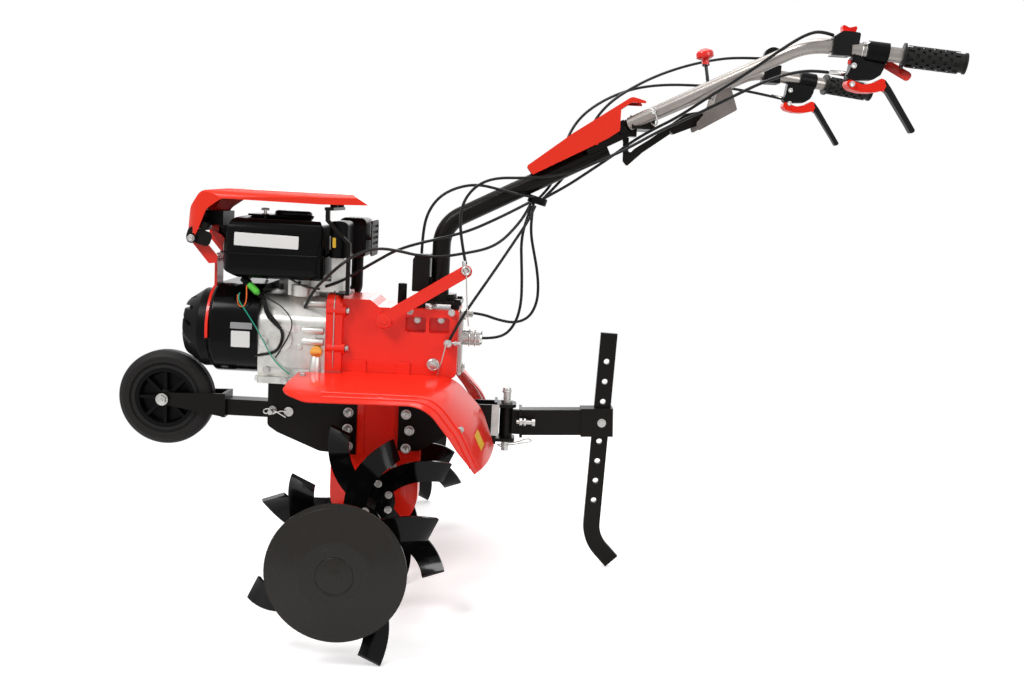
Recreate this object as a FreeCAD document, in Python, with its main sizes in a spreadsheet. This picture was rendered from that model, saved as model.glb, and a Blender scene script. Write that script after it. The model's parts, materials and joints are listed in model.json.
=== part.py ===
"""Garden tiller: a petrol engine on a gearbox, tines on a cross axle, a drag stake and a folding handlebar.

Lengths are millimetres and angles are degrees. Each piece is drawn in a frame of its own group (axle,
engine, column, handle, hitch or arm), with +X forward, +Y left and +Z up, and is then set down with the
whole machine leaning back on its tines and stake. Sizes come from the sheet and are written as
expressions of its aliases.
"""
import FreeCAD, Part
import math
import os
import re

import Sketcher
from FreeCAD import Placement, Rotation, Vector

doc = FreeCAD.newDocument("garden_tiller")
sheet = doc.addObject("Spreadsheet::Sheet", "sizes")

SIZES = {
    "stance": {
        "lean": 3.0,
        "axle_ahead": 288.4,
    },
    "tines": {
        "blade_width": 43.0,
        "blade_thick": 6.0,
        "blade_long": 161.6,
        "blade_sweep": 76.0,
        "blade_bend": 54.0,
        "blades_per_set": 4,
        "set_inner": 88.0,
        "set_middle": 290.0,
        "set_outer": 486.0,
        "hub_radius": 26.0,
        "axle_radius": 15.0,
        "tine_flange": 52.0,
        "disc_at": 540.0,
        "disc_radius": 120.0,
        "disc_dish": 14.0,
        "disc_thick": 3.0,
    },
    "gearbox": {
        "flange_plane": 103.0,
        "bell_thick": 16.5,
        "flange_half": 88.0,
        "flange_top": 424.0,
        "flange_foot": 258.0,
        "gearbox_top": 416.0,
        "gearbox_deck": 402.0,
        "gearbox_floor": 262.0,
        "gearbox_rear": 165.0,
        "gearbox_half": 75.0,
        "leg_half": 25.0,
        "leg_front": 69.5,
        "leg_back": 92.0,
        "chain_radius": 80.0,
        "bearing_radius": 40.0,
        "bearing_half": 46.0,
        "plate_thick": 5.0,
        "bracket_front": 229.0,
    },
    "engine": {
        "engine_base": 237.0,
        "crank_height": 102.0,
        "case_length": 137.0,
        "case_half": 86.0,
        "shroud_front": 238.0,
        "shroud_radius": 93.0,
        "recoil_front": 301.0,
        "recoil_radius": 82.0,
        "recoil_face": 56.0,
        "tank_half": 110.0,
        "tank_seam": 262.0,
        "tank_top": 336.0,
        "tank_floor": 212.0,
        "tank_front": 212.0,
        "cap_radius": 38.0,
    },
    "hood": {
        "hood_half": 105.0,
        "hood_skirt": 27.0,
        "hood_wall": 3.0,
        "strap_half": 76.0,
        "hood_hinge_x": 272.5,
        "hood_hinge_z": 286.0,
    },
    "fenders": {
        "fender_inner": 78.0,
        "fender_outer": 300.0,
        "fender_wall": 2.5,
    },
    "wheel": {
        "wheel_radius": 100.0,
        "wheel_half": 22.0,
        "rim_radius": 63.0,
        "arm_pivot_x": 184.0,
        "arm_pivot_z": 168.0,
        "arm_reach": 264.0,
        "arm_high": 34.0,
        "arm_half": 20.0,
        "fork_gap": 28.0,
        "fork_wall": 4.0,
    },
    "hitch": {
        "pin_x": 272.0,
        "pin_z": 165.0,
        "pin_radius": 8.0,
        "lug_gap": 66.0,
        "lug_thick": 7.0,
        "hitch_rise": 3.0,
        "bar_high": 54.0,
        "bar_half": 17.0,
        "bar_end": 158.0,
        "socket_long": 68.0,
        "socket_high": 60.0,
        "socket_half": 14.0,
        "stake_wide": 35.0,
        "stake_half": 6.0,
        "stake_lean": 4.7,
        "stake_hole": 6.0,
        "hole_pitch": 43.0,
        "stake_pin": 5.9,
        "stake_at": 202.0,
    },
    "column": {
        "column_x": 119.0,
        "column_z": 424.0,
        "column_radius": 19.0,
        "column_rise": 27.5,
        "column_bend": 70.0,
        "column_knee": 150.0,
    },
    "handle": {
        "hinge_x": 478.0,
        "hinge_z": 785.0,
        "tube_radius": 13.5,
        "tube_wall": 2.0,
        "grip_radius": 17.0,
        "grip_long": 112.0,
        "ear_half": 17.3,
        "handle_tilt": 18.0,
        "hinge_radius": 8.0,
    },
    "cables": {
        "cable_radius": 3.0,
    },
}

LIST = {name: value for group in SIZES.values() for name, value in group.items()}
for row, (name, value) in enumerate(LIST.items(), start=1):
    sheet.set(f"A{row}", name.replace("_", " "))
    sheet.set(f"B{row}", str(value))
    sheet.setAlias(f"B{row}", name)
doc.recompute()


def cells(expression):
    """The expression with each size named through the sheet, for a property of another object."""
    return re.sub(r"[a-z_]+", lambda m: f"sizes.{m[0]}" if m[0] in LIST else m[0], str(expression))


def size(expression):
    """The number that an expression of sheet sizes stands for."""
    return float(sheet.evalExpression(str(expression)))


def bind(thing, **sizes):
    """Ties properties of a document object to expressions of sheet sizes."""
    for prop, expression in sizes.items():
        thing.setExpression(prop, cells(expression))
    return thing


def shift(x="0", y="0", z="0", pitch=0.0):
    """A place in a frame; a positive pitch lifts the front."""
    return Placement(Vector(size(x), size(y), size(z)), Rotation(Vector(0, -1, 0), pitch))


# Sketches and bodies.
def sketch_on(body, plane, at="0"):
    """An empty sketch on one of the body's own origin planes, moved along its normal."""
    sketch = body.newObject("Sketcher::SketchObject", f"{body.Name}_sketch")
    support = next(f for f in body.Origin.OriginFeatures if f.Role == f"{plane}_Plane")
    sketch.AttachmentSupport = (support, "")
    sketch.MapMode = "FlatFace"
    bind(sketch, **{"AttachmentOffset.Base.z": at})
    return sketch


def corner(before, here, after, radius):
    """Where a rounded corner starts, where it ends, and the centre of its arc."""
    to_last = (before - here).normalize()
    to_next = (after - here).normalize()
    half = to_last.getAngle(to_next) / 2
    cut = radius / math.tan(half)
    middle = here + (to_last + to_next).normalize() * (radius / math.sin(half))
    return here + to_last * cut, here + to_next * cut, middle


def outline(sketch, points):
    """A closed line through points (across, up) or (across, up, corner radius), all tied to the sheet."""
    spots = [Vector(size(p[0]), size(p[1]), 0) for p in points]
    count = len(spots)
    ends = []
    for i, point in enumerate(points):
        if len(point) == 3:
            ends.append(corner(spots[i - 1], spots[i], spots[(i + 1) % count], size(point[2])))
        else:
            ends.append((spots[i], spots[i], None))
    lines = [
        sketch.addGeometry(Part.LineSegment(ends[i][1], ends[(i + 1) % count][0])) for i in range(count)
    ]
    ties = []

    def tie(kind, *where, expression):
        index = sketch.addConstraint(Sketcher.Constraint(kind, *where, size(expression)))
        ties.append((index, expression))

    for i, point in enumerate(points):
        last, following = lines[i - 1], lines[i]
        if len(point) == 2:
            sketch.addConstraint(Sketcher.Constraint("Coincident", last, 2, following, 1))
            tie("DistanceX", -1, 1, following, 1, expression=point[0])
            tie("DistanceY", -1, 1, following, 1, expression=point[1])
            continue
        start, end, middle = ends[i]
        first, second = start - middle, end - middle
        turns_left = first.cross(second).z > 0
        angles = [math.atan2(v.y, v.x) for v in ((first, second) if turns_left else (second, first))]
        circle = Part.Circle(middle, Vector(0, 0, 1), first.Length)
        arc = sketch.addGeometry(Part.ArcOfCircle(circle, *angles))
        vertex = sketch.addGeometry(Part.Point(spots[i]), True)
        enter, leave = (1, 2) if turns_left else (2, 1)
        sketch.addConstraint(Sketcher.Constraint("Tangent", last, 2, arc, enter))
        sketch.addConstraint(Sketcher.Constraint("Tangent", following, 1, arc, leave))
        sketch.addConstraint(Sketcher.Constraint("PointOnObject", vertex, 1, last))
        sketch.addConstraint(Sketcher.Constraint("PointOnObject", vertex, 1, following))
        tie("DistanceX", -1, 1, vertex, 1, expression=point[0])
        tie("DistanceY", -1, 1, vertex, 1, expression=point[1])
        tie("Radius", arc, expression=point[2])
    for index, expression in ties:
        sketch.setExpression(f"Constraints[{index}]", cells(expression))
    return sketch


def ring(sketch, across, up, radius):
    """A circle with its centre and radius tied to the sheet."""
    centre = Vector(size(across), size(up), 0)
    hole = sketch.addGeometry(Part.Circle(centre, Vector(0, 0, 1), size(radius)))
    for kind, where, expression in (
        ("DistanceX", (-1, 1, hole, 3), across),
        ("DistanceY", (-1, 1, hole, 3), up),
        ("Radius", (hole,), radius),
    ):
        index = sketch.addConstraint(Sketcher.Constraint(kind, *where, size(expression)))
        sketch.setExpression(f"Constraints[{index}]", cells(expression))
    return sketch


def new_body(name):
    return doc.addObject("PartDesign::Body", name)


def pad(body, sketch, length, symmetric=False, reverse=False):
    feature = body.newObject("PartDesign::Pad", f"{body.Name}_pad")
    feature.Profile = sketch
    feature.SideType = "Symmetric" if symmetric else "One side"
    feature.Reversed = reverse
    return bind(feature, Length=length)


def pocket(body, sketch, length, symmetric=False, reverse=False):
    """Cuts the sketch out of the body, and stops if nothing was cut."""
    doc.recompute()
    before = body.Shape.Volume
    feature = body.newObject("PartDesign::Pocket", f"{body.Name}_pocket")
    feature.Profile = sketch
    feature.SideType = "Symmetric" if symmetric else "One side"
    feature.Reversed = reverse
    bind(feature, Length=length)
    doc.recompute()
    if not body.Shape.Volume < before:
        raise RuntimeError(f"{feature.Name} cuts nothing")
    return feature


def turned(body, sketch, axis):
    """A revolution of the sketch round one of the body's own axes."""
    feature = body.newObject("PartDesign::Revolution", f"{body.Name}_turned")
    feature.Profile = sketch
    line = next(f for f in body.Origin.OriginFeatures if f.Role == f"{axis}_Axis")
    feature.ReferenceAxis = (line, "")
    feature.Angle = 360
    return feature


def finish_pattern(body, feature, axis, count):
    """Repeats a body's last feature round one of its own axes."""
    turn = body.newObject("PartDesign::PolarPattern", f"{body.Name}_round")
    turn.Originals = [feature]
    line = next(f for f in body.Origin.OriginFeatures if f.Role == f"{axis}_Axis")
    turn.Axis = (line, "")
    turn.Angle = 360
    bind(turn, Occurrences=count)
    body.Tip = turn
    return turn


def round_edges(body, radius, chosen, kind="Fillet"):
    """Fillets or chamfers the edges that the test picks out."""
    doc.recompute()
    base = body.Tip
    names = [f"Edge{i}" for i, edge in enumerate(base.Shape.Edges, start=1) if chosen(edge)]
    feature = body.newObject(f"PartDesign::{kind}", f"{body.Name}_{kind.lower()}")
    feature.Base = (base, names)
    return bind(feature, **{"Radius" if kind == "Fillet" else "Size": radius})


X, Y, Z = Vector(1, 0, 0), Vector(0, 1, 0), Vector(0, 0, 1)
TURN_TO = {"X": Rotation(Y, 90), "Y": Rotation(X, -90), "Z": Rotation()}


# Primitives.
def box(x, y, z):
    """A block between two expressions along each axis."""
    block = doc.addObject("Part::Box", "block")
    block.Placement.Base = Vector(size(x[0]), size(y[0]), size(z[0]))
    bind(block, **{"Placement.Base.x": x[0], "Placement.Base.y": y[0], "Placement.Base.z": z[0]})
    sides = {"Length": x, "Width": y, "Height": z}
    return bind(block, **{side: f"({high}) - ({low})" for side, (low, high) in sides.items()})


def rod(axis, radius, length, x="0", y="0", z="0"):
    """A cylinder that starts at a place and runs along an axis."""
    bar = doc.addObject("Part::Cylinder", "rod")
    bar.Placement = Placement(Vector(size(x), size(y), size(z)), TURN_TO[axis])
    bind(bar, **{"Placement.Base.x": x, "Placement.Base.y": y, "Placement.Base.z": z})
    return bind(bar, Radius=radius, Height=length)


def fuse(*parts):
    joined = doc.addObject("Part::MultiFuse", "fuse")
    joined.Shapes = list(parts)
    return joined


def cut(base, *tools):
    result = doc.addObject("Part::Cut", "cut")
    result.Base = base
    result.Tool = tools[0] if len(tools) == 1 else fuse(*tools)
    return result


def shaped(shape):
    """A piece whose shape is worked out by Part's own functions."""
    feature = doc.addObject("Part::Feature", "shaped")
    feature.Shape = shape
    return feature


def path(points, radii):
    """Straight runs joined by tangent arcs, one radius for each inner point."""
    edges = []
    last = points[0]
    for i in range(1, len(points) - 1):
        start, end, middle = corner(points[i - 1], points[i], points[i + 1], radii[i - 1])
        top = middle + (points[i] - middle).normalize() * (start - middle).Length
        edges.append(Part.LineSegment(last, start).toShape())
        edges.append(Part.Arc(start, top, end).toShape())
        last = end
    edges.append(Part.LineSegment(last, points[-1]).toShape())
    return Part.Wire(edges)


def tube(points, radii, radius, bore=0.0):
    """A round tube swept along runs and arcs."""
    spine = path(points, radii)
    heading = points[1] - points[0]

    def swept(r):
        circle = Part.Wire([Part.makeCircle(r, points[0], heading)])
        return spine.makePipeShell([circle], True, False)

    solid = swept(radius)
    return solid.cut(swept(bore)) if bore else solid


def spot(x, y, z):
    return Vector(size(x), size(y), size(z))


FACING = {"XY": Rotation(), "XZ": Rotation(X, 90), "YZ": Rotation(Vector(1, 1, 1), 120)}


def slab(plane, points, low, high, holes=()):
    """A flat plate with the given outline on a plane through the origin, from low to high across it."""
    sketch = doc.addObject("Sketcher::SketchObject", "outline")
    sketch.Placement = Placement(Vector(), FACING[plane])
    outline(sketch, points)
    for hole in holes:
        ring(sketch, *hole)
    plate = doc.addObject("Part::Extrusion", "slab")
    plate.Base = sketch
    plate.DirMode = "Normal"
    plate.Solid = True
    start, end = (f"-({high})", f"-({low})") if plane == "XZ" else (low, high)
    return bind(plate, LengthRev=f"-({start})", LengthFwd=end)


def common(*parts):
    shared = doc.addObject("Part::MultiCommon", "common")
    shared.Shapes = list(parts)
    return shared


def made(*parts):
    """The finished shapes of document objects."""
    doc.recompute()
    return [part.Shape.copy() for part in parts]


# The blade comes first: the machine stands on the lowest tips, so its height follows from their shape.
def make_blade():
    """A flat bar that sweeps back in the plane of its flange, with its end bent out of that plane."""
    steps, between = 8, 6
    bend_from = 0.5
    stride = size("blade_long") / (steps * between)
    width, thick = size("blade_width") / 2, size("blade_thick") / 2
    middle = Vector(0, 0, size("hub_radius") + 2)
    sections = []
    for i in range(steps * between + 1):
        share = i / (steps * between)
        turn = Rotation(Y, -size("blade_sweep") * share)
        outward, across = turn.multVec(Z), turn.multVec(X)
        bend = math.radians(size("blade_bend")) * max(0.0, share - bend_from) / (1 - bend_from)
        if i % between == 0:
            through = Y * math.cos(bend) - outward * math.sin(bend)
            corners = [
                middle + across * (a * width) + through * (b * thick)
                for a, b in ((-1, -1), (1, -1), (1, 1), (-1, 1))
            ]
            sections.append(Part.makePolygon(corners + corners[:1]))
        middle = middle + (outward * math.cos(bend) + Y * math.sin(bend)) * stride
    return Part.makeLoft(sections, True, False)


BLADE = make_blade()
TIP = max((v.Point for v in BLADE.Vertexes), key=lambda p: math.hypot(p.x, p.z))
TIP_BACK = math.degrees(math.atan2(TIP.x, TIP.z))
STEP = 360 / size("blades_per_set")
AXLE_HEIGHT = math.hypot(TIP.x, TIP.z) * math.cos(math.radians(STEP / 4))
print("axle height", round(AXLE_HEIGHT, 6))

# Frames. The machine frame has its origin on the axle; STANCE sets it down on the ground, leaning back.
STANCE = shift("axle_ahead", "0", AXLE_HEIGHT, size("lean"))
AXLE = shift()
ENGINE = shift("flange_plane", "0", "engine_base")
HOOD = ENGINE * shift("hood_hinge_x", "0", "hood_hinge_z")
ARM = shift("arm_pivot_x", "0", "arm_pivot_z")
WHEEL = ARM * shift("arm_reach", "0", "13")
HITCH = shift("-pin_x", "0", "pin_z", -size("hitch_rise"))
PIN = shift("-pin_x", "0", "pin_z")
COLUMN = shift("-column_x", "0", "column_z")
HANDLE = shift("-hinge_x", "0", "hinge_z")

pieces = []


def finish(piece, name, frame):
    """Names a finished piece and sets it down in the machine's stance."""
    doc.recompute()
    for prop, _ in piece.ExpressionEngine:
        if "Placement" in prop:
            piece.setExpression(prop, None)
    piece.Label = name
    piece.Placement = STANCE * frame * piece.Placement
    pieces.append(piece)
    return piece


# The gearbox, its leg and the brackets bolted to it.
def make_gearbox():
    body = new_body("gearbox")
    side = sketch_on(body, "XZ")
    outline(side, [
        ("flange_plane - bell_thick", "gearbox_floor"),
        ("flange_plane - bell_thick", "gearbox_top"),
        ("15", "gearbox_top", "8"),
        ("-2", "gearbox_deck", "8"),
        ("-gearbox_rear", "gearbox_deck", "4"),
        ("-gearbox_rear", "gearbox_floor", "14"),
    ])
    pad(body, side, "2 * gearbox_half", symmetric=True)
    flange = sketch_on(body, "YZ", "flange_plane - 2 * bell_thick")
    outline(flange, [
        ("-flange_half", "flange_foot", "14"),
        ("flange_half", "flange_foot", "14"),
        ("flange_half", "flange_top", "30"),
        ("-flange_half", "flange_top", "30"),
    ])
    pad(body, flange, "2 * bell_thick")
    lobes = sketch_on(body, "YZ", "flange_plane - 2 * bell_thick - 6")
    for across in ("-flange_half + 9", "flange_half - 9"):
        for height in ("flange_foot + 56", "flange_top - 33"):
            ring(lobes, across, height, "12")
    pad(body, lobes, "2 * bell_thick + 6")
    for sign, reverse in (("-", True), ("", False)):
        window = sketch_on(body, "XZ", f"{sign}gearbox_half")
        outline(window, [
            ("-gearbox_rear + 18", "gearbox_deck - 48", "5"),
            ("-gearbox_rear + 60", "gearbox_deck - 48", "5"),
            ("-gearbox_rear + 60", "gearbox_deck - 16", "5"),
            ("-gearbox_rear + 18", "gearbox_deck - 16", "5"),
        ])
        outline(window, [
            ("-gearbox_rear + 66", "gearbox_deck - 48", "5"),
            ("-gearbox_rear + 108", "gearbox_deck - 48", "5"),
            ("-gearbox_rear + 108", "gearbox_deck - 16", "5"),
            ("-gearbox_rear + 66", "gearbox_deck - 16", "5"),
        ])
        pocket(body, window, "26", reverse=reverse)
    plug = sketch_on(body, "XZ", "-gearbox_half")
    ring(plug, "-gearbox_rear + 48", "gearbox_floor + 25", "13")
    pad(body, plug, "4", reverse=True)
    stop = sketch_on(body, "XZ", "-gearbox_half")
    outline(stop, [
        ("-gearbox_rear + 12", "328"), ("-gearbox_rear + 28", "328"),
        ("-gearbox_rear + 28", "339"), ("-gearbox_rear + 12", "339"),
    ])
    pad(body, stop, "19", reverse=True)
    finish(body, "gearbox", AXLE)


def make_leg():
    body = new_body("leg")
    side = sketch_on(body, "XZ")
    outline(side, [
        ("-leg_back", "gearbox_floor - 0.3"),
        ("-leg_back", "-chain_radius", "chain_radius"),
        ("chain_radius + 14", "-chain_radius", "chain_radius"),
        ("chain_radius + 14", "58", "30"),
        ("leg_front", "112", "20"),
        ("leg_front", "gearbox_floor - 0.3"),
    ])
    pad(body, side, "2 * leg_half", symmetric=True)
    for front, back in (("40", "26"), ("-20", "-38")):
        rib = sketch_on(body, "XZ")
        outline(rib, [(back, "84"), (front, "84"), (front, "gearbox_floor - 6"), (back, "gearbox_floor - 6")])
        pad(body, rib, "2 * leg_half + 6", symmetric=True)
    rim = sketch_on(body, "XZ")
    ring(rim, "0", "0", "chain_radius - 14")
    pad(body, rim, "2 * leg_half + 6", symmetric=True)
    hub = sketch_on(body, "XZ")
    ring(hub, "0", "0", "bearing_radius")
    pad(body, hub, "2 * bearing_half", symmetric=True)
    bore = sketch_on(body, "XZ")
    ring(bore, "0", "0", "axle_radius + 0.5")
    pocket(body, bore, "3 * bearing_half", symmetric=True)
    finish(body, "drive_leg", AXLE)


def make_brackets():
    front = new_body("front_bracket")
    for sign in (-1, 1):
        plate = sketch_on(front, "XZ", f"{sign} * (leg_half + plate_thick / 2)")
        outline(plate, [
            ("42", "82"),
            ("118", "86", "30"),
            ("208", "122", "20"),
            ("bracket_front", "136", "12"),
            ("bracket_front", "engine_base"),
            ("42", "engine_base"),
        ])
        ring(plate, "arm_pivot_x", "arm_pivot_z", "6.1")
        ring(plate, "arm_pivot_x + 34", "arm_pivot_z + 1", "5.2")
        for height in ("103", "135", "165"):
            ring(plate, "60", height, "5")
        pad(front, plate, "plate_thick", symmetric=True)
    top = sketch_on(front, "XY", "engine_base - plate_thick")
    outline(top, [
        ("leg_front + 6", "-62", "6"), ("bracket_front", "-62", "6"),
        ("bracket_front", "62", "6"), ("leg_front + 6", "62", "6"),
    ])
    pad(front, top, "plate_thick - 0.3")
    finish(front, "front_bracket", AXLE)

    rear = new_body("rear_bracket")
    for sign in (-1, 1):
        plate = sketch_on(rear, "XZ", f"{sign} * (leg_half + plate_thick / 2)")
        outline(plate, [
            ("-46", "96"),
            ("-46", "200"),
            ("-pin_x + 26", "204"),
            ("-pin_x + 26", "126"),
            ("-172", "148"),
            ("-92", "97"),
        ])
        for height in ("106", "136", "170"):
            ring(plate, "-67", height, "5")
        pad(rear, plate, "plate_thick", symmetric=True)
    cross = sketch_on(rear, "YZ", "-pin_x + 20")
    outline(cross, [
        ("-leg_half - plate_thick", "120"),
        ("leg_half + plate_thick", "120"),
        ("leg_half + plate_thick", "210"),
        ("-leg_half - plate_thick", "210"),
    ])
    pad(rear, cross, "6")
    for low in ("pin_z + lug_gap / 2", "pin_z - lug_gap / 2 - lug_thick"):
        lug = sketch_on(rear, "XY", low)
        outline(lug, [
            ("-pin_x + 22", "-26"),
            ("-pin_x + 22", "26"),
            ("-pin_x - 20", "26", "16"),
            ("-pin_x - 20", "-26", "16"),
        ])
        ring(lug, "-pin_x", "0", "pin_radius + 0.1")
        pad(rear, lug, "lug_thick")
    finish(rear, "rear_bracket", AXLE)


# The engine: crankcase, cylinder, fan shroud, starter, tank, air cleaner and silencer.
def make_crankcase():
    body = new_body("crankcase")
    end = sketch_on(body, "YZ", "0.3")
    outline(end, [
        ("-case_half", "0.3"),
        ("case_half - 6", "0.3", "6"),
        ("case_half", "30", "10"),
        ("case_half", "crank_height + 30", "24"),
        ("case_half - 40", "crank_height + 76", "10"),
        ("-case_half + 10", "crank_height + 76", "8"),
        ("-case_half", "crank_height + 50", "8"),
    ])
    pad(body, end, "case_length - 0.6")
    foot = sketch_on(body, "XY", "0")
    outline(foot, [
        ("46", "-96", "8"), ("case_length - 1", "-96", "8"), ("case_length - 1", "96", "8"), ("46", "96", "8"),
    ])
    pad(body, foot, "13")
    cover = sketch_on(body, "XZ", "-case_half")
    outline(cover, [
        ("18", "34", "14"), ("case_length - 14", "34", "14"), ("case_length - 14", "crank_height + 20", "30"),
        ("18", "crank_height + 20", "30"),
    ])
    pad(body, cover, "5", reverse=True)
    boss = sketch_on(body, "XZ", "-case_half")
    ring(boss, "88", "crank_height - 12", "22")
    pad(body, boss, "12", reverse=True)
    finish(body, "crankcase", ENGINE)


def make_cylinder():
    """The cylinder slopes up to the right of the crankcase, finned, with its head and valve cover."""
    barrel = box(("24", "123"), ("-152", "0"), ("-43", "46"))
    head = box(("16", "131"), ("-176", "-150"), ("-52", "55"))
    lid = slab("XZ", [
        ("32", "-38", "12"), ("115", "-38", "12"), ("115", "42", "12"), ("32", "42", "12"),
    ], "-204", "-175")
    fins = [
        slab("XZ", [
            ("14", "-54", "16"), ("133", "-54", "16"), ("133", "57", "16"), ("14", "57", "16"),
        ], f"-{at} - 3", f"-{at}")
        for at in range(94, 149, 9)
    ]
    whole = fuse(barrel, head, lid, *fins)
    shape = made(whole)[0]
    shape.rotate(Vector(), X, -25)
    shape.translate(Vector(0, 0, size("crank_height + 6")))
    near_case = Part.makeBox(300, 300, 300, Vector(-50, -size("case_half") - 0.3, -50))
    under_tank = Part.makeBox(300, 200, 60, spot("-10", "-tank_half - 12", "tank_floor - 8"))
    finish(shaped(shape.cut([near_case, under_tank])), "cylinder", ENGINE)


def make_shroud():
    body = new_body("shroud")
    end = sketch_on(body, "YZ", "case_length + 0.3")
    outline(end, [
        ("-shroud_radius - 70", "crank_height - 40", "12"),
        ("-shroud_radius - 10", "crank_height - shroud_radius", "40"),
        ("shroud_radius", "crank_height - shroud_radius", "shroud_radius * 0.9"),
        ("shroud_radius", "crank_height + shroud_radius", "shroud_radius * 0.9"),
        ("-shroud_radius - 70", "crank_height + shroud_radius", "20"),
    ])
    pad(body, end, "shroud_front - case_length - 0.3")
    round_edges(body, "8", lambda e: abs(e.CenterOfMass.x - size("shroud_front")) < 0.5)
    finish(body, "fan_shroud", ENGINE)


def make_recoil():
    body = new_body("recoil")
    face = sketch_on(body, "XZ")
    back, front = "shroud_front + 6.3", "recoil_front"
    outline(face, [
        (back, "0"), (f"{front} - 5", "0"), (f"{front} - 5", "24"), (front, "27"),
        (front, "recoil_face", "10"), (f"{front} - 38", "recoil_radius", "8"), (back, "recoil_radius"),
    ])
    turned(body, face, "X")
    slot = sketch_on(body, "XY")
    outline(slot, [
        (f"{front} - 22", "40", "2"), (f"{front} + 2", "40", "2"),
        (f"{front} + 2", "47", "2"), (f"{front} - 22", "47", "2"),
    ])
    louvre = pocket(body, slot, "150")
    finish_pattern(body, louvre, "X", "12")
    finish(body, "recoil_starter", ENGINE * shift("0", "0", "crank_height - 4"))


def make_tank():
    side = slab("XZ", [
        ("6", "tank_floor", "14"),
        ("tank_front - 34", "tank_floor", "20"),
        ("tank_front - 2", "tank_floor + 18", "16"),
        ("tank_front - 2", "tank_seam + 10", "6"),
        ("tank_front - 22", "tank_top", "22"),
        ("11", "tank_top", "20"),
        ("6", "tank_seam + 10", "6"),
    ], "-tank_half", "tank_half")
    end = slab("YZ", [
        ("-tank_half", "tank_floor", "26"), ("tank_half", "tank_floor", "26"),
        ("tank_half", "tank_top - 6", "28"), ("0", "tank_top + 1", "200"), ("-tank_half", "tank_top - 6", "28"),
    ], "-5", "tank_front + 5")
    plan = slab("XY", [
        ("6", "-tank_half", "26"), ("tank_front - 2", "-tank_half", "26"),
        ("tank_front - 2", "tank_half", "26"), ("6", "tank_half", "26"),
    ], "tank_floor - 5", "tank_top + 5")
    rim = slab("XY", [
        ("2", "-tank_half - 4", "29"), ("tank_front + 2", "-tank_half - 4", "29"),
        ("tank_front + 2", "tank_half + 4", "29"), ("2", "tank_half + 4", "29"),
    ], "tank_seam - 2", "tank_seam + 2")
    neck = rod("Z", "cap_radius - 8", "9", x="88", z="tank_top - 8")
    finish(fuse(common(side, end, plan), rim, neck), "fuel_tank", ENGINE)
    cap = new_body("cap")
    section = sketch_on(cap, "XZ")
    outline(section, [
        ("0", "1.3"), ("cap_radius", "1.3"), ("cap_radius", "10", "2"), ("cap_radius - 5", "13", "2"),
        ("0", "13"),
    ])
    turned(cap, section, "Z")
    finish(cap, "filler_cap", ENGINE * shift("88", "0", "tank_top"))


def make_intake():
    air = common(
        slab("XZ", [("-38", "260", "8"), ("1.7", "260", "8"), ("1.7", "334", "12"), ("-38", "334", "12")],
             "-14", "84"),
        slab("XY", [("-38", "-14", "10"), ("1.7", "-14", "10"), ("1.7", "84", "18"), ("-38", "84", "18")],
             "255", "340"),
    )
    finish(air, "air_cleaner", ENGINE)
    drum = common(
        slab("XZ", [("-60", "256", "14"), ("-1.5", "256", "14"), ("-1.5", "340", "14"), ("-60", "340", "14")],
             "-150", "-30"),
        slab("YZ", [("-150", "256", "20"), ("-30", "256", "20"), ("-30", "340", "20"), ("-150", "340", "20")],
             "-70", "5"),
    )
    guard = slab("YZ", [
        ("-146", "260", "16"), ("-34", "260", "16"), ("-34", "336", "16"), ("-146", "336", "16"),
    ], "-72", "-69")
    slots = [box(("-75", "-66"), ("-134", "-46"), (f"{at}", f"{at} + 6")) for at in range(272, 322, 12)]
    posts = [rod("X", "4", "14", x="-71", y=y, z="298") for y in ("-140", "-40")]
    pipe = tube([spot("13.5", "-128", "166"), spot("-30", "-128", "166"), spot("-30", "-128", "260")], [26], 13)
    stub = shaped(pipe)
    finish(fuse(drum, cut(guard, *slots), stub, *posts), "muffler", ENGINE)
    carb = fuse(
        box(("28", "84"), ("14", "58"), ("crank_height + 76.3", "tank_floor - 0.5")),
        rod("Z", "19", "22", x="56", y="66", z="crank_height + 77"),
        box(("-12", "28"), ("22", "70"), ("190", "tank_floor - 0.5")),
        box(("-30", "-6"), ("22", "70"), ("193", "259.7")),
    )
    finish(carb, "carburettor", ENGINE)


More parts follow.
